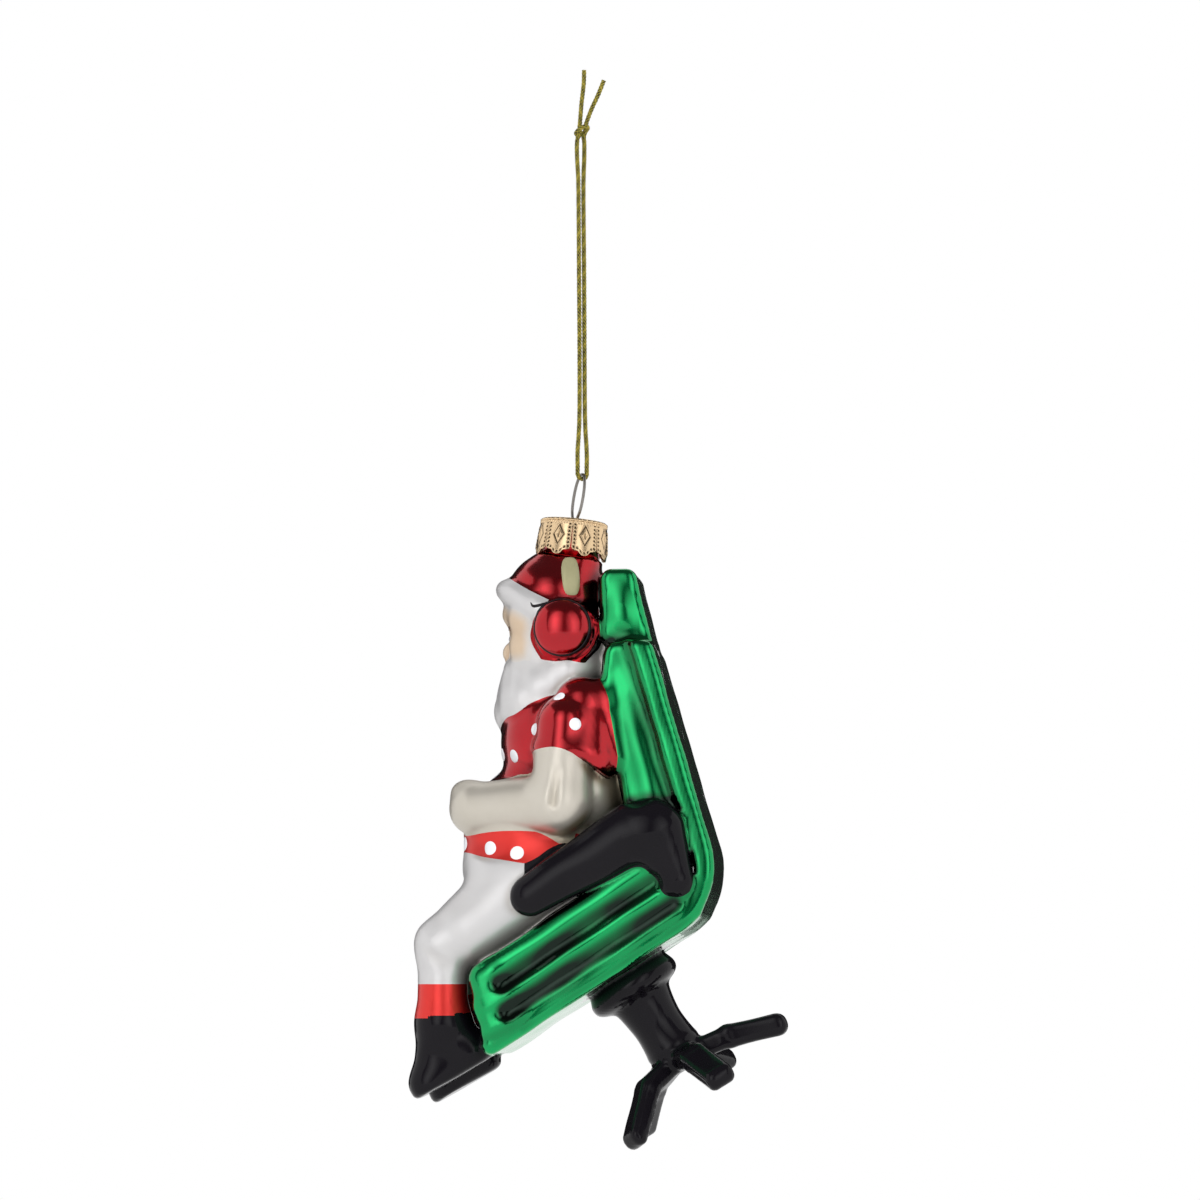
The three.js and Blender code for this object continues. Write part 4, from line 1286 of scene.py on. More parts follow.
@dataclass
class Head:
    """Hat, fur brim, headphones, face, hair and beard."""

    skull: Ball = Ball((0.0, -4.2, -102.9), (8.6, 9.0, 11.6))
    crown: Ball = Ball((0.0, -5.9, -96.3), (9.3, 10.0, 9.5))
    brim: Ring = Ring((0.0, -5.8, -100.6), 10.4, 2.35, 0.84, 1.07, math.radians(32))
    hair_ball: Ball = Ball((0.0, -1.2, -106.6), (8.6, 7.1, 7.6))
    ear: Pair = (-2.4, -104.1)
    face_edge: float = -10.3

    def face_forms(self) -> tuple[Joined, Ball, Joined]:
        """The face, the nose and the moustache."""
        face = joined(
            1.8,
            Ball((0.0, -10.2, -105.0), (7.0, 4.7, 7.2)),
            Ball((0.0, -13.0, -99.8), (5.2, 3.4, 2.8)),
            *two_balls((4.5, -11.5, -107.0), (2.7, 2.8, 3.5)),
        )
        nose = Ball((0.0, -14.5, -107.5), (1.75, 1.8, 2.1))
        moustache = joined(0.8, *two_limbs((0.7, -14.6, -110.4), (4.2, -12.9, -111.3), 1.15, 0.7))
        return face, nose, moustache

    def beard_form(self) -> Joined:
        """The beard, with locks that lie over the chest on both sides."""
        return joined(
            3.0,
            Ball((0.0, -7.4, -114.6), (8.6, 9.2, 7.2), math.radians(30)),
            Limb((0.0, -9.5, -113.6), (0.0, -13.3, -119.9), 7.0, 4.8),
            *two_limbs((5.4, -2.5, -112.0), (4.6, -10.6, -118.2), 4.9, 4.7),
        )

    def drum(self, radius: float) -> Turned:
        """A long drum through both ears."""
        outline = ((0.0, -20.0), (radius, -20.0), (radius, 20.0), (0.0, 20.0))
        return Turned(outline, Placing((0.0, *self.ear)), 1)

    def ear_parts(self, side: int) -> tuple[Joined, Ball]:
        """An ear pad and its cup."""
        y, z = self.ear
        outline = [
            (0.0, 6.6), (5.6, 6.8), (6.4, 7.9), (6.55, 8.8), (6.3, 9.5), (5.9, 9.6), (5.3, 9.2), (0.0, 9.0),
        ]
        rolled = Turned(tuple(map(tuple, smooth_path(outline, 3))), Placing((0.0, y, z)), side)
        pad = joined(0.8, rolled, Ball((side * 6.4, y, z - 1.2), (3.2, 6.5, 6.1)))
        return pad, Ball((side * 9.6, y - 0.6, z + 0.8), (3.3, 5.85, 5.85))

    def build(self, shell: BlownShell) -> None:
        """Adds the head's forms and zones.

        Args:
            shell: The blown glass that takes them.
        """
        outline = ((0.0, -16.0), (7.9, -16.0), (6.5, -9.4), (6.5, -8.2), (6.1, -7.75), (0.0, -7.75))
        collar = Turned(outline, NECK)
        nape_hair = Ball((0.0, 0.4, -111.0), (8.2, 5.4, 4.6))
        hair = Combed(joined(2.0, self.hair_ball, nape_hair), (0.0, -2.0), 16, 0.05)
        beard = Combed(self.beard_form(), (0.0, -5.0), 15, 0.06)
        face, nose, moustache = self.face_forms()
        temples = joined(
            2.0,
            *two_balls((5.6, -9.8, -101.0), (3.0, 4.4, 3.8)),
            *two_balls((5.0, -7.6, -107.6), (3.2, 4.0, 5.6)),
        )
        brim = Trimmed(self.brim, (outside_of(self.drum(6.2)),), 1.4)
        for form, soft in (
            (self.skull, 1.0), (self.crown, 2.0), (collar, 2.2), (hair, 1.5), (beard, 2.0), (face, 1.6),
            (temples, 2.2), (nose, 0.7), (moustache, 0.7), (brim, 1.5),
        ):
            shell.add(form, soft)
        lean = self.brim.lean
        above_brim = Side(self.brim.centre, (0.0, math.sin(lean), math.cos(lean)))
        nape = Side((0.0, 4.3, -99.7), (0.0, 1.0, -0.1))
        front = Ball((0.0, self.face_edge - 5.7, -105.4), (18.0, 7.7, 10.6), math.radians(-6))
        around = self.drum(6.9)
        for side, name in SIDES:
            pad, cup = self.ear_parts(side)
            shell.add(pad, 0.5)
            shell.add(cup, 0.4)
            under_pad = Ball((side * 7.6, self.ear[0], self.ear[1] - 0.2), (4.0, 7.0, 7.0))
            off_cup = outside_of(Ball(cup.centre, (3.7, 6.2, 6.2)))
            shell.zones += [
                Zone(f"ear_cup_{name}", RED, (cup,)),
                Zone(f"ear_pad_{name}", PAD_RED, (pad, under_pad), (around, off_cup)),
            ]
        hair_forms = (self.skull, hair, temples, self.crown)
        shell.zones += [
            Zone("hat_brim", PEARL, (brim,)),
            Zone("nose", SKIN, (nose,)),
            Zone("moustache", PEARL, (moustache,)),
            Zone("beard", PEARL, (beard,)),
            Zone("face", SKIN, (face, temples), (front, above_brim), 2.0),
            Zone("hat", RED, (self.crown, collar, self.skull, hair), (opposite(above_brim), nape)),
            Zone("hair", PEARL, hair_forms, (opposite(front), either(above_brim, opposite(nape)))),
        ]


@dataclass
class Torso:
    """Shirt, hem band, sleeves, bare arms and lower back."""

    chest: Ball = Ball((0.0, -5.2, -125.3), (12.3, 11.4, 12.6))
    belly: Ball = Ball((0.0, -10.2, -144.7), (12.7, 13.9, 13.9))
    rear: Ball = Ball((0.0, 1.8, -136.0), (12.8, 7.2, 10.0))
    lap: Ball = Ball((0.0, -15.6, -152.4), (12.2, 8.8, 7.2))
    split: float = -138.4
    cuff_foot: float = -128.6
    cuff_slope: float = math.radians(41)
    arm_foot: float = -145.2
    hem: Side = Side((0.0, -24.3, -148.9), (0.0, -math.sin(math.radians(19)), -math.cos(math.radians(19))))

    def build(self, shell: BlownShell) -> None:
        """Adds the torso's forms and zones.

        Args:
            shell: The blown glass that takes them.
        """
        shell.add(self.chest, 1.2)
        shell.add(self.belly, 3.5)
        shell.add(self.rear, 3.0)
        level, slope = under(self.cuff_foot), self.cuff_slope
        slanted = Side(level.point, (0.0, -math.sin(slope), -math.cos(slope)))
        cuff = either(level, slanted, soft=3.0)
        for side, name in SIDES:
            arm = joined(
                2.4,
                limb(side, (11.4, -2.2, -123.0), (12.2, -3.0, -138.7), 5.9, 5.9),
                limb(side, (12.0, -3.6, -138.9), (6.4, -20.0, -139.7), 5.8, 5.3),
                Ball(mirrored((4.5, -22.2, -139.4), side), (4.7, 4.4, 4.9)),
                Ball(mirrored((3.6, -23.6, -136.2), side), (2.6, 2.5, 2.0)),
            )
            cloth = Trimmed(limb(side, (10.8, 1.4, -119.6), (11.2, -0.2, -128.4), 6.1, 8.9, 0.72), (cuff,), 1.2)
            shell.add(arm, 0.9)
            shell.add(cloth, 0.7)
            shell.groove(limb(side, (18.4, -3.3, -133.0), (18.6, -4.0, -139.2), 0.1, 0.3), 1.7)
            shell.groove(limb(side, (16.4, 2.0, -115.5), (17.9, 3.6, -124.5), 0.2, 0.2), 1.0)
            shell.zones += [
                Zone(f"sleeve_{name}", RED, (cloth,)),
                Zone(f"arm_{name}", CREAM, (arm,), (opposite(cuff), inside_of(side))),
            ]
        under_arm = Side((0.0, -12.0, self.arm_foot), (0.0, -0.04, 1.0))
        before_back = Side((0.0, -1.0, 0.0), (0.0, 1.0, 0.0))
        shell.zones += [
            Zone("shirt_front", RED, (self.chest, self.belly), (under(self.split),)),
            Zone("shirt_hem", SCARLET, (self.belly,), (under_arm, self.hem, before_back)),
            Zone("lower_back", CREAM, (self.rear,), (self.hem,)),
        ]


@dataclass
class Legs:
    """Trousers, socks and boots. The right foot hangs lower than the left."""

    torso: Torso
    leg_x: float = 7.0
    far_drop: float = 2.0
    cuff_top: float = -175.2
    cuff_foot: float = -181.4
    sole_tilt: float = math.radians(-29.5)

    def build(self, shell: BlownShell) -> None:
        """Adds the legs' forms and zones.

        Args:
            shell: The blown glass that takes them.
        """
        above_hem = opposite(self.torso.hem)
        lap = Trimmed(self.torso.lap, (above_hem,), 0.6)
        shell.add(lap, 3.0)
        x = self.leg_x
        for side, name in SIDES:
            drop = self.far_drop if side < 0 else 0.0
            knee = mirrored((x, -27.7, -167.4), side, drop)
            thigh = joined(
                3.0,
                Limb(mirrored((x - 0.8, -12.2, -154.5), side), knee, 8.0, 5.3),
                limb(side, (x - 0.6, -4.0, -152.2), (x, -21.2, -164.4), 8.2, 6.4),
            )
            shin = Limb(knee, mirrored((x, -27.4, -182.4), side, drop), 5.0, 5.2)
            toe = mirrored((x + 0.5, -29.7 + 0.9 * drop, -195.0 + 0.5 * drop), side, drop)
            heel = mirrored((x, -21.9, -188.8), side, drop)
            top = mirrored((x, -27.4, self.cuff_foot - 2), side, drop)
            sole = ((x + 0.25) * side, -26.15, -191.6 - drop - 3.2)
            tilt = self.sole_tilt
            boot = Trimmed(
                joined(2.5, Limb(top, toe, 5.1, 3.9), Limb(top, heel, 5.1, 3.9), Limb(toe, heel, 3.9, 3.9)),
                (Side(sole, (0.0, -math.sin(tilt), -math.cos(tilt))),),
                1.0,
            )
            shell.add(thigh, 2.5)
            shell.add(shin, 2.5)
            shell.add(boot, 2.0)
            shell.groove(limb(side, (13.4, -30.4, -168.6), (13.2, -24.4, -172.6), 0.9, 0.8, drop=drop), 1.6)
            half = inside_of(side)
            cuff = under(self.cuff_top - drop)
            ragged = Side((0.0, -27.4, self.cuff_foot - drop), (0.0, 0.12, -1.0), 0.22)
            parts = (lap, self.torso.belly, self.torso.rear, thigh, shin)
            shell.zones += [
                Zone(f"sock_{name}", SCARLET, (shin, boot), (opposite(cuff), ragged, half)),
                Zone(f"boot_{name}", BLACK, (boot, shin), (opposite(ragged), half)),
                Zone(f"trouser_{name}", PEARL, parts, (above_hem, cuff, half)),
            ]


@dataclass(frozen=True)
class Seam:
    """A seam pressed into both sides of the seat, with painted shade in it."""

    front: Pair
    back: Pair
    radius: float
    soft: float
    shade_front: float
    shade_back: float
    shade_depth: float


@dataclass
class Chair:
    """Seat rolls, back, headrest, bent shell band and armrests."""

    seat_top: float = 16.7
    pan_top: float = 3.2
    pan_front: float = -31.6
    corner: float = 26.0
    fillet: float = 16.0
    recline: float = math.tan(math.radians(16.6))
    band: float = 4.6
    shell_top: float = 57.5
    seat_side: float = 16.9
    back_side: float = 15.9
    band_side: float = 15.7
    rest_x: float = 15.6
    rest_inner: float = 12.9
    head_foot: float = -106.25
    roll_feet: tuple[float, ...] = (0.9, 5.8, 11.2)
    roll_fronts: tuple[float, ...] = (-30.9, -29.6, -26.3)
    seams: tuple[Seam, ...] = (
        Seam((-20.9, 10.9), (15.5, 11.4), 1.6, 1.2, 2.75, 2.5, 0.9),
        Seam((-22.9, 5.5), (16.5, 5.6), 1.6, 1.2, 2.75, 2.5, 0.9),
        Seam((-22.3, 0.6), (19.8, 0.9), 0.7, 1.0, 1.6, 1.6, 1.0),
    )

    def rear(self, height: float) -> float:
        """Where the back's rear line is at a height over the seat."""
        return self.corner + self.recline * height

    def band_form(self, half_width: float) -> Trimmed:
        """The bent shell band.

        Args:
            half_width: Half its width.

        Returns:
            The band.
        """
        top = self.shell_top
        outer = (
            (self.pan_front, 0.0, 1.4),
            (self.corner, 0.0, self.fillet),
            (self.rear(top), top, 1.4),
            (self.rear(top) - self.band, top, 1.4),
            (self.pan_front + 0.6, self.pan_top, 1.2),
        )
        inner = (
            (self.pan_front - 5, self.pan_top, 0.0),
            (self.rear(self.pan_top) - self.band, self.pan_top, self.fillet - self.band),
            (self.rear(top + 8) - self.band, top + 8, 0.0),
            (self.pan_front - 5, top + 8, 0.0),
        )
        hollow = Slab(inner, half_width + 9, 1.5, CHAIR)
        return Trimmed(Slab(outer, half_width, 1.6, CHAIR), (outside_of(hollow),), 1.2)

    def seat_form(self) -> Joined:
        """Three rolls and the block behind the knees."""
        rolls = []
        tops = (*self.roll_feet[1:], self.seat_top)
        for foot, top, front in zip(self.roll_feet, tops, self.roll_fronts):
            outline = ((front, foot, 2.2), (20.0, foot, 0.0), (24.5, top + 1.0, 0.0), (front + 1.2, top, 2.4))
            rolls.append(Slab(outline, self.seat_side, 1.3, CHAIR, 1.5, 2.4))
        block = ((-29.6, 1.5, 1.0), (-20.0, 1.5, 1.0), (-20.0, 15.5, 1.0), (-25.6, 15.5, 1.0))
        return joined(2.8, *rolls, Slab(block, 15.4, 1.5, CHAIR))

    def back_form(self) -> Slab:
        """The back cushion."""
        foot = self.seat_top + 0.3
        outline = (
            (14.2, foot, 0.0),
            (self.rear(self.seat_top) - self.band, foot, 0.0),
            (37.8, 54.8, 1.5),
            (33.4, 57.6, 3.5),
            (29.4, 52.5, 3.5),
        )
        return Slab(outline, self.back_side, 1.8, CHAIR, 2.6, 5.2)

    def press_seams(self, shell: BlownShell) -> None:
        """Presses the seams into both sides of the seat, and paints shade into them."""
        for seam in self.seams:
            for side, _ in SIDES:
                x = self.seat_side * side
                start, end = map(tuple, CHAIR.world(np.array([(x, *seam.front), (x, *seam.back)])))
                shell.groove(Limb(start, end, seam.radius, seam.radius), seam.soft)
                shell.pool(Limb(start, end, seam.shade_front, seam.shade_back), seam.shade_depth)

    def build(self, shell: BlownShell) -> None:
        """Adds the chair's forms and zones.

        Args:
            shell: The blown glass that takes them.
        """
        under_head = Side((0.0, 0.0, self.head_foot), (0.0, 0.0, 1.0))
        path = outside_of(self.band_form(19.2))
        seat = Trimmed(self.seat_form(), (path,), 1.5)
        back = Trimmed(self.back_form(), (path, under_head), 1.2)
        head_outline = ((4.7, -106.1, 2.0), (15.6, -107.5, 1.5), (11.6, -91.2, 2.4), (4.5, -91.2, 2.4))
        headrest = Slab(head_outline, 12.3, 1.6, ROW, 2.6, 4.6)
        shell.add(Trimmed(self.band_form(self.band_side), (under_head,), 2.0), 1.5)
        shell.add(seat, 1.3)
        shell.add(back, 3.0)
        shell.add(headrest, 1.8)
        self.press_seams(shell)
        x = self.rest_x
        for side, name in SIDES:
            shell.groove(limb(side, (15.6, 7.2, -113.2), (15.8, 8.4, -115.8), 1.0, 1.2), 2.4)
            shell.groove(limb(side, (16.6, 9.0, -124.0), (16.8, 12.6, -138.0), 0.6, 1.4), 3.4)
            rest = joined(
                3.0,
                limb(side, (x, -8.8, -157.7), (x, 12.4, -144.7), 4.1, 6.2, 0.68),
                limb(side, (x, 16.4, -145.0), (x, 20.2, -154.6), 6.0, 3.5, 0.68),
            )
            shell.add(rest, 0.9)
            shell.zones.append(Zone(f"armrest_{name}", BLACK, (rest,), (inside_of(side, self.rest_inner),)))
        plain_band = Trimmed(self.band_form(16.5), (under_head,), 0.4)
        shell.zones += [
            Zone("headrest", GREEN, (headrest,)),
            Zone("chair_shell", GREEN, (plain_band,)),
            Zone("back_cushion", GREEN, (back,)),
            Zone("seat_cushion", GREEN, (seat,)),
        ]


@dataclass
class Pedestal:
    """Flange, waisted post, hub and the five hand-bent legs of the star."""

    reaches: tuple[float, ...] = (22.4, 20.6, 20.8, 20.4, 20.2)
    drops: tuple[float, ...] = (3.9, 7.3, 8.3, 7.0, 3.8)
    arm_reach: float = 10.6
    arm_top: float = -18.1
    arm_drop: float = 1.8
    flange_foot: float = -6.35
    post_foot: float = -17.35
    hub_radius: float = 5.6

    def build(self, shell: BlownShell) -> None:
        """Adds the pedestal's forms and zones.

        Args:
            shell: The blown glass that takes them.
        """
        outline = [
            (0.0, 1.6), (6.4, 1.4), (8.4, 0.2), (9.3, -1.6), (9.7, -3.0), (9.4, -4.3), (8.3, -5.2),
            (6.9, -5.8), (6.2, -6.6), (5.8, -8.4), (5.5, -10.6), (5.35, -12.3), (5.4, -14.4), (5.6, -16.4),
            (5.8, -17.6), (5.6, -18.6), (5.5, -20.2), (4.4, -21.4), (0.0, -21.7),
        ]
        column = Turned(tuple(map(tuple, smooth_path(outline, 3))), CHAIR)
        shell.add(column, 0.9)
        below = self.side_of(self.flange_foot)
        foot = self.side_of(self.post_foot)
        legs = []
        for i, (reach, drop) in enumerate(zip(self.reaches, self.drops)):
            placing = Placing(CHAIR.origin, CHAIR.lean, -2 * math.pi * i / len(self.reaches))
            out, low, top = self.arm_reach, self.arm_top - 4.2, self.arm_top - self.arm_drop + 0.7
            arm = (
                (1.0, low, 0.8), (out, low - self.arm_drop, 1.0),
                (out + 1.2, self.arm_top - self.arm_drop, 1.0), (1.0, self.arm_top, 0.8),
            )
            pad = (
                (out - 1.0, top - 5.0, 1.2), (reach - 0.8, top - 5.0 - drop, 2.0),
                (reach, top - drop - 0.6, 2.0), (out - 0.4, top, 1.0),
            )
            leg = joined(1.6, Slab(arm, 2.7, 1.3, placing), Slab(pad, 2.9, 1.4, placing))
            shell.add(leg, 1.2)
            legs.append(Zone(f"base_leg_{i + 1}", BLACK, (leg,), (self.out_of_hub(self.hub_radius),)))
        shell.zones += legs
        shell.zones += [
            Zone("base_hub", BLACK, (column,), (opposite(foot),)),
            Zone("pedestal_post", BLACK, (column,), (foot, opposite(below))),
            Zone("pedestal_flange", BLACK, (column,), (below,)),
        ]

    @staticmethod
    def side_of(height: float) -> Field:
        """The side below a height of the chair's frame."""
        return lambda x, y, z: height - CHAIR.local(x, y, z)[2]

    @staticmethod
    def out_of_hub(radius: float) -> Field:
        """A limit that cuts off what is in the hub."""
        return lambda x, y, z: radius - np.hypot(*CHAIR.local(x, y, z)[:2])


# Paint on the glass


@dataclass
class Paint:
    """Raised dots, the headphones' stripe and the painted eyes, laid on the blown surface."""

    shell: BlownShell
    effects: Effects
    dot_height: float = 0.2
    sink: float = 0.15
    line_middle: Pair = (-2.8, -103.5)
    line_reach: float = 5.75
    rings: int = 6
    steps: int = 28

    def patch(self, centre: Triple, radii: Pair, lift: float, square: float = 2.0) -> tuple:
        """A rounded and upright patch of raised paint on the surface.

        Args:
            centre: A point near the surface.
            radii: Half its width and half its height.
            lift: How far its middle stands out.
            square: The exponent of its outline, 2 for an ellipse and more for a squarer one.

        Returns:
            Its points and faces.
        """
        spot, normal = self.shell.settle(np.array([centre], float), 8)
        spot, normal = spot[0], normal[0]
        above = UP - normal * (UP @ normal)
        above /= np.linalg.norm(above)
        across = np.cross(above, normal)
        rings, steps = self.rings, self.steps
        turn = 2 * np.pi * np.arange(steps) / steps
        shares = np.sin(np.linspace(0, 1, rings + 1)[1:] * np.pi / 2)
        c, s = np.cos(turn), np.sin(turn)
        stretch = (np.abs(c) ** square + np.abs(s) ** square) ** (-1 / square)
        rows = [spot[None, :]]
        for share in shares:
            u, v = share * radii[0] * c * stretch, share * radii[1] * s * stretch
            rows.append(spot + np.outer(u, across) + np.outer(v, above))
        flat = np.vstack(rows)
        ground, normals = self.shell.settle(flat, 6)
        heights = np.concatenate([[1.0], np.repeat((1 - shares**4), steps)])
        top = ground + normals * (0.02 + lift * heights)[:, None]
        foot = ground[-steps:] - normals[-steps:] * self.sink
        base = ground[:1] - normals[:1] * self.sink
        points = np.vstack([top, foot, base])
        faces = [(0, 1 + k, 1 + (k + 1) % steps) for k in range(steps)]
        faces += renumbered([(a, d, c, b) for a, b, c, d in quads_between(rings + 1, steps)], 1)
        last = 1 + rings * steps
        faces += [(len(points) - 1, last + (k + 1) % steps, last + k) for k in range(steps)]
        return points, faces

    def stroke(self, points: list[Triple], radii: list[float], lift: float = 0.1) -> tuple:
        """A brush stroke that follows the surface.

        Args:
            points: Places near the surface that it passes.
            radii: Half its width at each place.
            lift: How far it stands out.

        Returns:
            Its points and faces.
        """
        path = smooth_path(np.array(points, float), 6)
        widths = smooth_path(np.array([(r, 0.0) for r in radii]), 6)[:, 0]
        path, normals = self.shell.settle(path, 8)
        tangents = np.gradient(path, axis=0)
        across = np.cross(normals, tangents)
        across /= np.linalg.norm(across, axis=1)[:, None]
        rows = []
        for u, v in ((-1, -self.sink), (-0.8, 0.7), (0, 1), (0.8, 0.7), (1, -self.sink)):
            edge, out = self.shell.settle(path + across * (widths * u)[:, None], 5)
            rows.append(edge + out * (lift * v + 0.02))
        spots = np.stack(rows, axis=1)
        count, wide = spots.shape[:2]
        faces = quads_between(count, wide)
        faces.append(tuple(range(wide - 1, -1, -1)))
        faces.append(tuple((count - 1) * wide + k for k in range(wide)))
        return spots.reshape(-1, 3), faces

    def piece(self, name: str, patches: list[tuple], finish: Finish, replaces: tuple[str, ...] = ()) -> None:
        """Joins patches into one piece on the glass.

        Args:
            name: The piece's name.
            patches: The points and faces of each patch.
            finish: The paint.
            replaces: The CAD nodes that it stands for.
        """
        points, faces, start = [], [], 0
        for spots, rows in patches:
            points.append(spots)
            faces += renumbered(rows, start)
            start += len(spots)
        make_piece(name, np.vstack(points), faces, Body.GLASS, [finish], self.effects, replaces=replaces)

    def dots(self, name: str, places: tuple[Triple, ...], radius: float) -> None:
        """Lays raised white dots on the left and right side alike."""
        patches = []
        for place in places:
            for side in (1, -1) if abs(place[0]) > 0.5 else (1,):
                patches.append(self.patch(mirrored(place, side), (radius, radius), self.dot_height))
        self.piece(name, patches, DOT_WHITE)

    def ear_line_and_groove_shade(self, side: int) -> tuple:
        """The black line that runs round the ear cup and ends in a small hook, widened on its lower back side
        as painted shade in the groove.

        Args:
            side: The sign of x of its side.

        Returns:
            Its points and faces.
        """
        points = [(9.0 * side, -9.2, -98.4), (9.2 * side, -8.6, -98.9), (9.6 * side, -7.0, -98.6)]
        radii = [0.08, 0.3, 0.3]
        (y, z), reach = self.line_middle, self.line_reach
        for step in range(22):
            angle = math.radians(118 - step * 17.5)
            points.append((10.3 * side, y + reach * math.cos(angle), z + reach * math.sin(angle)))
            # Wider where the groove lies in shade: the line is paint, and its extra width is painted shade.
            radii.append(0.28 + 0.3 * max(0.0, math.cos(angle + math.radians(25))))
        return self.stroke(points, radii, 0.12)

    def face_paint(self) -> None:
        """Plain painted eyes and brows."""
        whites, irises, brows = [], [], []
        for side in (1, -1):
            whites.append(self.patch((3.4 * side, -14.2, -104.9), (1.0, 0.62), 0.05))
            irises.append(self.patch((3.5 * side, -14.2, -104.95), (0.45, 0.5), 0.16))
            arch = [(1.7 * side, -15.4, -103.1), (3.2 * side, -14.8, -102.6), (4.9 * side, -13.2, -103.2)]
            brows.append(self.stroke(arch, [0.15, 0.32, 0.12]))
        self.piece("eye_whites", whites, DOT_WHITE)
        self.piece("eye_irises", irises, LINE_BLACK)
        self.piece("brow_strokes", brows, BROWN)

    def build(self) -> None:
        """Lays all the paint."""
        for side, name in SIDES:
            stripe = self.patch((side * 9.2, -1.0, -92.1), (1.9, 4.3), 0.4, 3.2)
            self.piece(f"headphone_band_{name}_paint", [stripe], OLIVE, (f"headphone_band_{name}",))
            self.piece(f"ear_line_and_groove_shade_{name}", [self.ear_line_and_groove_shade(side)], LINE_BLACK)
        self.dots("sleeve_dots", ((13.4, -2.9, -118.9), (15.5, -0.1, -123.5), (12.0, -8.0, -124.1)), 1.25)
        self.dots("shirt_dots", ((8.0, -13.0, -129.2), (3.0, -16.7, -128.7), (0.0, -17.6, -132.8)), 1.35)
        self.dots("hem_dots", ((3.4, -22.4, -146.6), (9.6, -17.0, -147.9), (12.3, -11.7, -149.2)), 1.45)
        self.face_paint()


# Cap, wire and cord


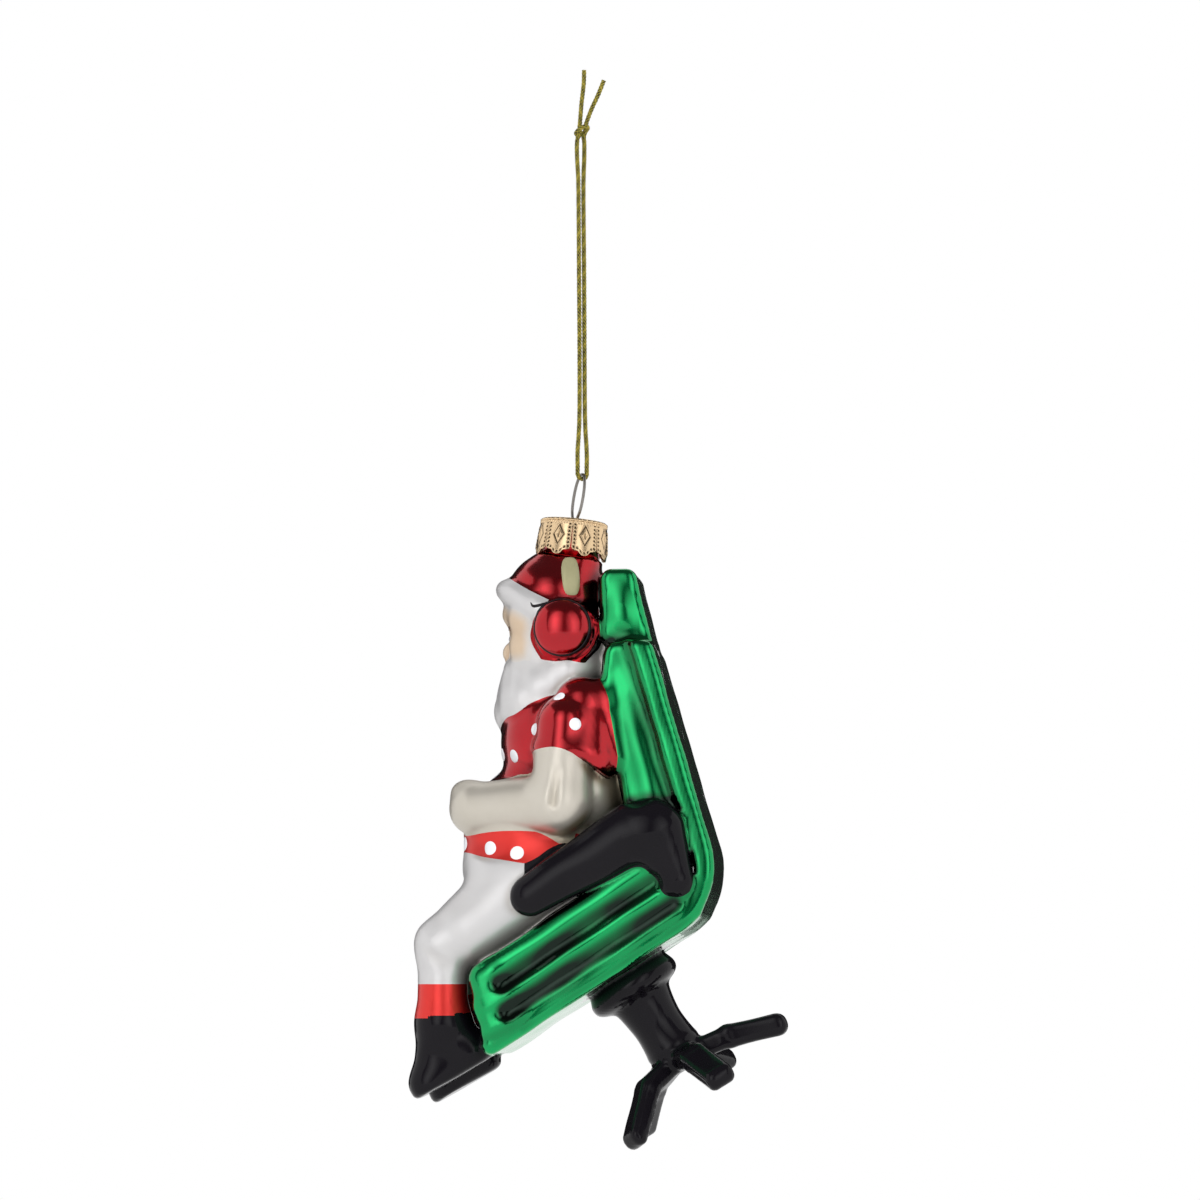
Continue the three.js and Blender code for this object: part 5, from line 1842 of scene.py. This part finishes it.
@dataclass
class StampedCap:
    """The stamped crown cap with eight petals, dotted borders and a plain diamond pattern."""

    top_radius: float = 6.75
    hem_radius: float = 7.5
    height: float = 7.6
    sheet: float = 0.3
    petals: int = 8
    slit_top: float = -1.7
    first_turn: float = math.radians(27)
    slit: float = math.radians(0.5)
    dot_pitch: float = 0.78
    dot_size: float = 0.2
    dot_inset: Pair = (0.5, 0.6)
    diamond: Pair = (1.15, 2.0)
    diamond_middle: float = -3.45
    stamp_depth: float = 0.13
    across: int = 52
    down: int = 74

    def radius_at(self, z: Array) -> Array:
        """The skirt's outer radius at a depth below the top."""
        return self.top_radius + (self.hem_radius - self.top_radius) * (-z / self.height) ** 0.9

    def hem_at(self, s: Array) -> Array:
        """How far down a petal reaches across its width, from -1 to 1."""
        reach = (0.0, 0.2, 0.33, 0.42, 0.52, 0.64, 0.78, 0.88, 0.95, 1.0)
        foot = (-7.6, -7.5, -7.2, -6.85, -6.65, -6.6, -6.6, -6.5, -6.3, -5.95)
        return np.interp(np.abs(s), reach, foot)

    def dots(self, off: Array, along: Array) -> Array:
        """A row of round dents, from the distance off the row and the place along it."""
        beat = along / self.dot_pitch
        along = np.abs(beat - np.round(beat)) * self.dot_pitch
        return np.exp(-((np.hypot(off, along) / self.dot_size) ** 2))

    def stamping(self, u: Array, z: Array, half: Array, foot: Array) -> Array:
        """The pattern's depth, 1 in a dent and negative on a raised line.

        Args:
            u: Distance across from the petal's middle, in millimetres.
            z: Height.
            half: Half the petal's width there.
            foot: The petal's lower edge there.

        Returns:
            The depth of the stamping.
        """
        beside = self.dots(np.abs(u) - (half - self.dot_inset[0]), z + 0.35)
        below = self.dots(z - foot - self.dot_inset[1], u)
        dents = np.maximum(beside, below) * (z < -1.1) * 1.5
        diamond = np.abs(u) / self.diamond[0] + np.abs(z - self.diamond_middle) / self.diamond[1]
        line = np.exp(-(((diamond - 1.0) / 0.13) ** 2))
        inner = np.exp(-(((diamond - 0.45) / 0.14) ** 2))
        bars = np.exp(-((u / 0.14) ** 2)) * (diamond < 0.4)
        return np.maximum.reduce([dents, 1.1 * line, bars]) - inner

    def build(self, effects: Effects) -> None:
        """Makes the cap.

        Args:
            effects: The shared node groups.
        """
        points, shade_amounts, faces = [], [], []
        turn = 2 * np.pi / self.petals
        s = np.linspace(-1, 1, self.across + 1)
        t = np.linspace(0, 1, self.down + 1)
        grid_s, grid_t = np.meshgrid(s, t)
        foot = self.hem_at(grid_s)
        top = -0.55
        z = top + (foot - top) * grid_t
        open_share = np.clip((self.slit_top - z) / 5.0, 0, 1) ** 0.7
        slit = self.slit * (z < self.slit_top) + self.slit * open_share
        radius = self.radius_at(z)
        half_angle = turn / 2 - slit
        depth = self.stamping(grid_s * half_angle * radius, z, half_angle * radius, foot)
        depth = np.where(z < -0.9, depth, 0.0)
        knurl = 0.09 * np.cos((grid_s * half_angle) * 72) * np.exp(-(((z + 0.75) / 0.35) ** 2))
        flare = 0.12 * np.clip((np.abs(grid_s) - 0.86) / 0.14, 0, 1) * (z < self.slit_top)
        bent = radius - self.stamp_depth * depth + knurl + flare
        for i in range(self.petals):
            angle = self.first_turn + turn * i + grid_s * half_angle
            start = sum(len(p) for p in points)
            for shift in (0.0, -self.sheet):
                r = bent + shift
                points.append(np.stack([r * np.cos(angle), r * np.sin(angle), z], axis=2).reshape(-1, 3))
                # Dents take painted shade by their depth, and the inside of the sheet an even painted shade.
                shade_amounts.append(np.clip(depth, 0, 1).reshape(-1) if shift == 0 else np.full(z.size, 0.6))
            faces += self.petal_faces(start, z.size)
        cap_points, cap_faces = self.top_disc()
        start = sum(len(p) for p in points)
        points.append(cap_points)
        shade_amounts.append(np.zeros(len(cap_points)))
        faces += renumbered(cap_faces, start)
        make_piece(
            "stamped_cap", NECK.world(np.vstack(points)), faces, Body.CAP, [BRASS], effects,
            replaces=("cap",), crease=np.hstack(shade_amounts),
        )

    def petal_faces(self, start: int, layer: int) -> list:
        """The faces of one petal, outside, inside and round its edge.

        Args:
            start: The number of its first point.
            layer: How many points its outside has.

        Returns:
            The faces.
        """
        grid = start + np.arange(layer).reshape(self.down + 1, self.across + 1)
        a, b, c, d = grid[:-1, :-1], grid[1:, :-1], grid[1:, 1:], grid[:-1, 1:]
        outside = np.stack([a, b, c, d], axis=2).reshape(-1, 4)
        inside = np.stack([a, d, c, b], axis=2).reshape(-1, 4) + layer
        rim = np.concatenate([grid[:, 0], grid[-1, 1:], grid[-2::-1, -1], grid[0, -2:0:-1]])
        after = np.roll(rim, -1)
        edge = np.stack([rim, rim + layer, after + layer, after], axis=1)
        return np.vstack([outside, inside, edge]).tolist()

    def top_disc(self) -> tuple[Array, list]:
        """The cap's flat top with its rolled and knurled rim."""
        steps = 192
        turn = 2 * np.pi * np.arange(steps) / steps
        profile = [
            (0.5, 0.0), (3.2, 0.0), (5.4, 0.02), (6.1, 0.1), (6.5, 0.05), (6.78, -0.2), (6.85, -0.5),
            (6.5, -0.62), (6.1, -0.4), (3.2, -0.35), (0.5, -0.35),
        ]
        rings = []
        for r, z in profile:
            r = r + (0.13 * np.cos(turn * 40) if r > 6.6 else 0.0)
            rings.append(np.stack([r * np.cos(turn), r * np.sin(turn), np.full(steps, z)], axis=1))
        return np.vstack(rings), [face[::-1] for face in quads_between(len(profile), steps, loop=True)]


@dataclass
class GlassNeck:
    """The glass neck under the cap."""

    bore: float = 4.95
    radius: float = 5.9

    def build(self, effects: Effects) -> None:
        """Makes the neck."""
        profile = [
            (self.bore, -7.7), (self.radius, -7.7), (self.radius, -1.9), (self.radius + 0.15, -1.2),
            (self.radius + 0.05, -0.85), (self.radius - 0.3, -0.7), (self.bore + 0.2, -0.75), (self.bore, -1.1),
        ]
        points, faces = lathe(np.array(profile), 72, NECK)
        make_piece("glass_neck_rim", points, faces, Body.GLASS, [RED], effects, replaces=("glass_neck",))


@dataclass
class WireHanger:
    """The spring wire: an eye above the cap and two sprung legs in the neck."""

    radius: float = 0.3
    eye_height: float = 9.9
    eye_half: float = 2.0
    turn: float = math.radians(35)

    def path(self) -> Array:
        """The wire's centre line in the neck's frame."""
        lean = -NECK.lean
        shift = (1.6 - self.eye_height * math.sin(lean)) / math.cos(lean)
        half = 0.85
        right = [
            (3.8, -13.5), (4.3, -11.3), (4.3 * 0.66, -7.3), (half, -3.2), (half, -1.6), (half, 0.2),
            (self.eye_half * 0.86, self.eye_height * 0.24), (self.eye_half, self.eye_height * 0.5),
            (self.eye_half * 0.88, self.eye_height * 0.76), (self.eye_half * 0.5, self.eye_height * 0.95),
        ]
        whole = [*right, (0.0, self.eye_height), *[(-a, b) for a, b in reversed(right)]]
        c, s = math.cos(self.turn), math.sin(self.turn)
        return np.array([(a * c, a * s + shift * max(b / self.eye_height, 0), b) for a, b in whole])

    def build(self, effects: Effects) -> None:
        """Makes the wire."""
        points, faces = sweep(NECK.world(smooth_path(self.path(), 10)), self.radius, 14)
        make_piece("eye_wire", points, faces, Body.HANGER, [STEEL], effects, replaces=("hanger_wire",))


@dataclass
class BraidedCord:
    """The cord: one loop through the wire eye, an overhand knot and two tails."""

    radius: float = 0.5
    strand: float = 68.6
    gap: float = 0.3
    turn_radius: float = 1.07
    arm: float = 1.35
    turn: float = math.radians(35)
    yarns: int = 8
    pitch: float = 3.0

    def at(self, offset: float, z: float, shift: float = 0.0) -> Triple:
        """A point beside the cord's axis, across the wire's eye."""
        return (-math.sin(self.turn) * offset, math.cos(self.turn) * offset + shift, z)

    def loop_path(self) -> Array:
        """The loop's centre line from the knot down, through the eye and up again."""
        top = -self.gap
        foot = top - self.strand

        def side(sign: int) -> list[Triple]:
            """One strand, from the knot to the turn."""
            rows = (
                (0.5, top + 0.9, -0.3), (0.85, top - 0.8, -0.35), (0.85, top - 4, -0.35),
                (0.62, top - 9, -0.3), (0.58, top - 16, -0.25), (0.6, top - 28, -0.15),
                (0.58, top - 44, -0.05), (0.66, foot + 10, 0.0),
                (self.turn_radius, foot + 3, 0.0), (self.turn_radius, foot - self.gap, 0.0),
            )
            return [self.at(sign * a, z, shift) for a, z, shift in rows]

        centre = foot - self.gap - self.arm
        bend = [
            self.at(-self.turn_radius * math.cos(a), centre - self.turn_radius * math.sin(a))
            for a in np.linspace(0, math.pi, 9)
        ]
        return smooth_path(np.array([*side(-1), *bend, *side(1)[::-1]]), 12)

    def tail_paths(self) -> list[Array]:
        """The centre lines of the two strands through the knot and out as tails."""
        first = [
            (-0.55, 0.0, -0.3), (-0.45, 1.0, -0.1), (-0.2, 2.2, -0.4), (-0.1, 3.1, -0.4),
            (-0.2, 7.1, 0.0), (-0.15, 11.1, 0.4), (-0.15, 14.1, 0.5),
        ]
        second = [
            (0.55, 0.0, -0.2), (0.5, 1.0, 0.1), (0.7, 2.2, 0.1), (0.85, 3.1, 0.1),
            (1.2, 6.1, 0.9), (1.5, 9.1, 2.0), (1.7, 12.1, 3.0),
        ]
        return [smooth_path(np.array([self.at(*spot) for spot in path]), 10) for path in (first, second)]

    def wrap_path(self) -> Array:
        """The turn of cord that the knot draws tight round both strands."""
        rows = []
        for a in np.linspace(-0.3, 2.1 * math.pi, 26):
            lift = 1.35 + 0.75 * math.sin(a * 0.98 + 0.6)
            rows.append((0.95 * math.cos(a), 1.2 * math.sin(a) - 0.1, lift))
        return smooth_path(np.array(rows), 3)

    def braid(self, path: Array, finish_start: int = 0) -> tuple[Array, list, list]:
        """A braid of metallic yarns round a core, along a path.

        Args:
            path: The centre line.
            finish_start: Where the order of the yarns' colours starts.

        Returns:
            Points, faces and the finish number of each face.
        """
        lengths = np.concatenate([[0], np.cumsum(np.linalg.norm(np.diff(path, axis=0), axis=1))])
        count = max(8, int(lengths[-1] / 0.22))
        even = np.linspace(0, lengths[-1], count + 1)
        line = np.stack([np.interp(even, lengths, path[:, i]) for i in range(3)], axis=1)
        tangents = np.gradient(line, axis=0)
        tangents /= np.linalg.norm(tangents, axis=1)[:, None]
        side = np.cross(tangents[0], (1.0, 0.2, 0.1))
        sides = []
        for tangent in tangents:
            side = side - tangent * (side @ tangent)
            side /= np.linalg.norm(side)
            sides.append(side)
        sides = np.array(sides)
        others = np.cross(tangents, sides)
        core, faces = sweep(line, self.radius * 0.55, 6)
        points, finish, start = [core], [2] * len(faces), len(core)
        colours = (0, 1, 0, 2, 0, 1, 0, 0)
        for i in range(self.yarns):
            hand = 1 if i % 2 else -1
            phase = 2 * math.pi * (i // 2) / (self.yarns / 2)
            turn = hand * 2 * math.pi * even / self.pitch + phase
            weave = self.radius * (0.66 + 0.07 * np.sin(hand * (self.yarns / 2) * turn))
            yarn = line + weave[:, None] * (np.cos(turn)[:, None] * sides + np.sin(turn)[:, None] * others)
            spots, rows = sweep(yarn, self.radius * 0.3, 5)
            points.append(spots)
            faces += renumbered(rows, start)
            finish += [colours[(i + finish_start) % len(colours)]] * len(rows)
            start += len(spots)
        return np.vstack(points), faces, finish

    def build(self, effects: Effects) -> None:
        """Args:
            effects: The shared node groups.
        """
        finishes = [GOLD_YARN, OLIVE_YARN, DARK_YARN]
        path = self.loop_path()
        points, faces, finish = self.braid(path)
        loop = make_piece(
            "cord_loop", points, faces, Body.CORD, finishes, effects,
            replaces=("cord_strand_a", "cord_strand_b", "cord_bight"), face_finish=finish, ride=False,
        )
        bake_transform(loop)
        for name, line, node in (
            ("cord_tail_short", self.tail_paths()[0], "cord_tail_a"),
            ("cord_tail_long", self.tail_paths()[1], "cord_tail_b"),
            ("cord_knot_turn", self.wrap_path(), "cord_knot"),
        ):
            spots, rows, colours = self.braid(line, 3)
            part = make_piece(name, spots, rows, Body.CORD, finishes, effects, (node,), face_finish=colours)


# Studio


@dataclass
class Studio:
    """The camera, a white surround, soft lamps, and dark cards that the mirror glass shows."""

    eye: Triple = (796.32, 81.92, -180.74)
    yaw: float = math.radians(95.611)
    pitch: float = math.radians(5.993)
    azimuth: float = 5.6  # where the camera stands, in degrees from the X axis
    lens: float = 117.69
    floor_z: float = -330.0
    floor_reach: float = 6.0  # in metres
    middle: Triple = (0.0, 0.0, -145.0)

    def turn_to(self, item: bpy.types.Object, place: Triple, ahead: Vector | None = None) -> None:
        """Puts a thing at a place and turns it to the ornament, or to a way ahead."""
        item.location = Vector(place) * MM
        item.rotation_mode = "QUATERNION"
        if ahead is None:
            ahead = Vector(self.middle) - Vector(place)
        item.rotation_quaternion = ahead.to_track_quat("-Z", "Y")

    def camera(self) -> None:
        """Sets the camera to the photograph's angle."""
        data = bpy.data.cameras.new("camera")
        data.lens = self.lens
        data.sensor_width = 36.0
        data.clip_start = 0.01
        camera = put("camera", data)
        flat = math.cos(self.pitch)
        ahead = Vector((-math.sin(self.yaw) * flat, math.cos(self.yaw) * flat, math.sin(self.pitch)))
        self.turn_to(camera, self.eye, ahead)
        bpy.context.scene.camera = camera

    def world(self) -> None:
        """A world that shows white, and lights the object plainly."""
        world = bpy.data.worlds.new("white surround")
        sheet = fresh_sheet(world)
        shown = sheet.seen_by("Camera", "Glossy", "Transmission")
        light = sheet.add("ShaderNodeBackground", {0: (0.97, 0.98, 1.0, 1), 1: 0.6})
        white = sheet.add("ShaderNodeBackground", {0: (1, 1, 1, 1), 1: 1.0})
        mixed = sheet.add("ShaderNodeMixShader", {0: shown, 1: light.outputs[0], 2: white.outputs[0]})
        sheet.add("ShaderNodeOutputWorld", {0: mixed.outputs[0]})
        bpy.context.scene.world = world

    @staticmethod
    def plate(name: str, half_width: float, half_height: float) -> tuple[bpy.types.Object, NodeSheet]:
        """A flat rectangle with an empty material.

        Args:
            name: The name of the rectangle and its material.
            half_width: Half its width in metres.
            half_height: Half its height in metres.

        Returns:
            The rectangle and its material's sheet.
        """
        mesh = bpy.data.meshes.new(name)
        w, h = half_width, half_height
        mesh.from_pydata([(-w, -h, 0), (w, -h, 0), (w, h, 0), (-w, h, 0)], [], [(0, 1, 2, 3)])
        material = bpy.data.materials.new(name)
        mesh.materials.append(material)
        return put(name, mesh), fresh_sheet(material)

    def card(self, name: str, place: Triple, size: Pair, level: float, edge: float = 0) -> None:
        """A plain card that only the mirror glass shows.

        Args:
            name: The card's name.
            place: Its middle.
            size: Its width and height.
            level: How bright it shows.
            edge: The share of its half width over which it fades to dark.
        """
        card, sheet = self.plate(name, size[0] * MM / 2, size[1] * MM / 2)
        shown = sheet.add("ShaderNodeEmission", {0: (1, 1, 1, 1), 1: level}).outputs[0]
        if edge:
            place_on = sheet.add("ShaderNodeTexCoord").outputs["Generated"]
            axes = sheet.add("ShaderNodeSeparateXYZ", {0: place_on}).outputs
            fades = []
            for axis in (0, 1):
                off = sheet.maths("ABSOLUTE", sheet.maths("SUBTRACT", axes[axis], 0.5))
                fades.append(sheet.ramp(off, 0.5, 0.5 - edge / 2))
            clear = sheet.add("ShaderNodeBsdfTransparent")
            fade = sheet.maths("MULTIPLY", *fades)
            shown = sheet.add("ShaderNodeMixShader", {0: fade, 1: clear.outputs[0], 2: shown}).outputs[0]
        sheet.add("ShaderNodeOutputMaterial", {0: shown})
        self.turn_to(card, place)
        for ray in ("camera", "diffuse", "shadow", "transmission", "volume_scatter"):
            setattr(card, f"visible_{ray}", False)

    def around(self, azimuth: float, elevation: float, distance: float) -> Triple:
        """A place round the ornament, with the azimuth counted from the camera towards the chair's back."""
        turn, rise = math.radians(self.azimuth + azimuth), math.radians(elevation)
        flat = distance * math.cos(rise)
        return (flat * math.cos(turn), flat * math.sin(turn), self.middle[2] + distance * math.sin(rise))

    def lamp(self, name: str, place: Triple, size: Pair, watts: float) -> None:
        """A soft rectangular lamp that looks at the ornament.

        Args:
            name: The lamp's name.
            place: Its middle.
            size: Its width and height.
            watts: Its power.
        """
        data = bpy.data.lights.new(name, "AREA")
        data.shape = "RECTANGLE"
        data.size, data.size_y = size[0] * MM, size[1] * MM
        data.energy = watts
        lamp = put(name, data)
        self.turn_to(lamp, place)
        lamp.visible_glossy = False

    def floor(self) -> None:
        """A pale floor well under the hanging ornament."""
        floor, sheet = self.plate("floor", self.floor_reach, self.floor_reach)
        shown = sheet.seen_by("Camera", "Glossy")
        matt = sheet.add("ShaderNodeBsdfDiffuse", {0: (0.8, 0.8, 0.8, 1)})
        white = sheet.add("ShaderNodeEmission", {0: (1, 1, 1, 1), 1: 1.0})
        mixed = sheet.add("ShaderNodeMixShader", {0: shown, 1: matt.outputs[0], 2: white.outputs[0]})
        sheet.add("ShaderNodeOutputMaterial", {0: mixed.outputs[0]})
        floor.location = (0, 0, self.floor_z * MM)

    def build(self) -> None:
        """Sets the whole studio."""
        bpy.context.scene.view_settings.view_transform = "Standard"
        self.world()
        self.floor()
        self.card("dark_room", self.around(0, 22, 1500), (3400.0, 2600.0), 0.09)
        self.card("softbox_left", self.around(-24, 12, 1350), (1060.0, 2000.0), 2.1, 0.85)
        self.card("softbox_right", self.around(23, 8, 1350), (1000.0, 2000.0), 1.8, 0.85)
        self.card("overhead_dark", self.around(0, 80, 1400), (2600.0, 1800.0), 0.12)
        self.card("far_room", self.around(180, 24, 1700), (900.0, 900.0), 0.45)
        for name, azimuth in (("rear", 154), ("front", -154)):
            self.card(f"{name}_flag", self.around(azimuth, 5, 1500), (1150.0, 2200.0), 0.02)
        self.lamp("key", self.around(-26, 24, 1200), (700.0, 1100.0), 9.0)
        self.lamp("fill", self.around(32, 10, 1200), (700.0, 1100.0), 6.0)


def main() -> None:
    """Builds the ornament's looks in order."""
    logging.basicConfig(level=logging.INFO, format="%(message)s")
    studio = Studio()
    studio.camera()
    effects = Effects()
    BraidedCord().build(effects)
    shell = BlownShell()
    torso = Torso()
    for part in (Head(), torso, Legs(torso), Chair(), Pedestal()):
        part.build(shell)
    shell.pieces(effects)
    Paint(shell, effects).build()
    GlassNeck().build(effects)
    StampedCap().build(effects)
    WireHanger().build(effects)
    studio.build()


if __name__ == "__main__":
    main()
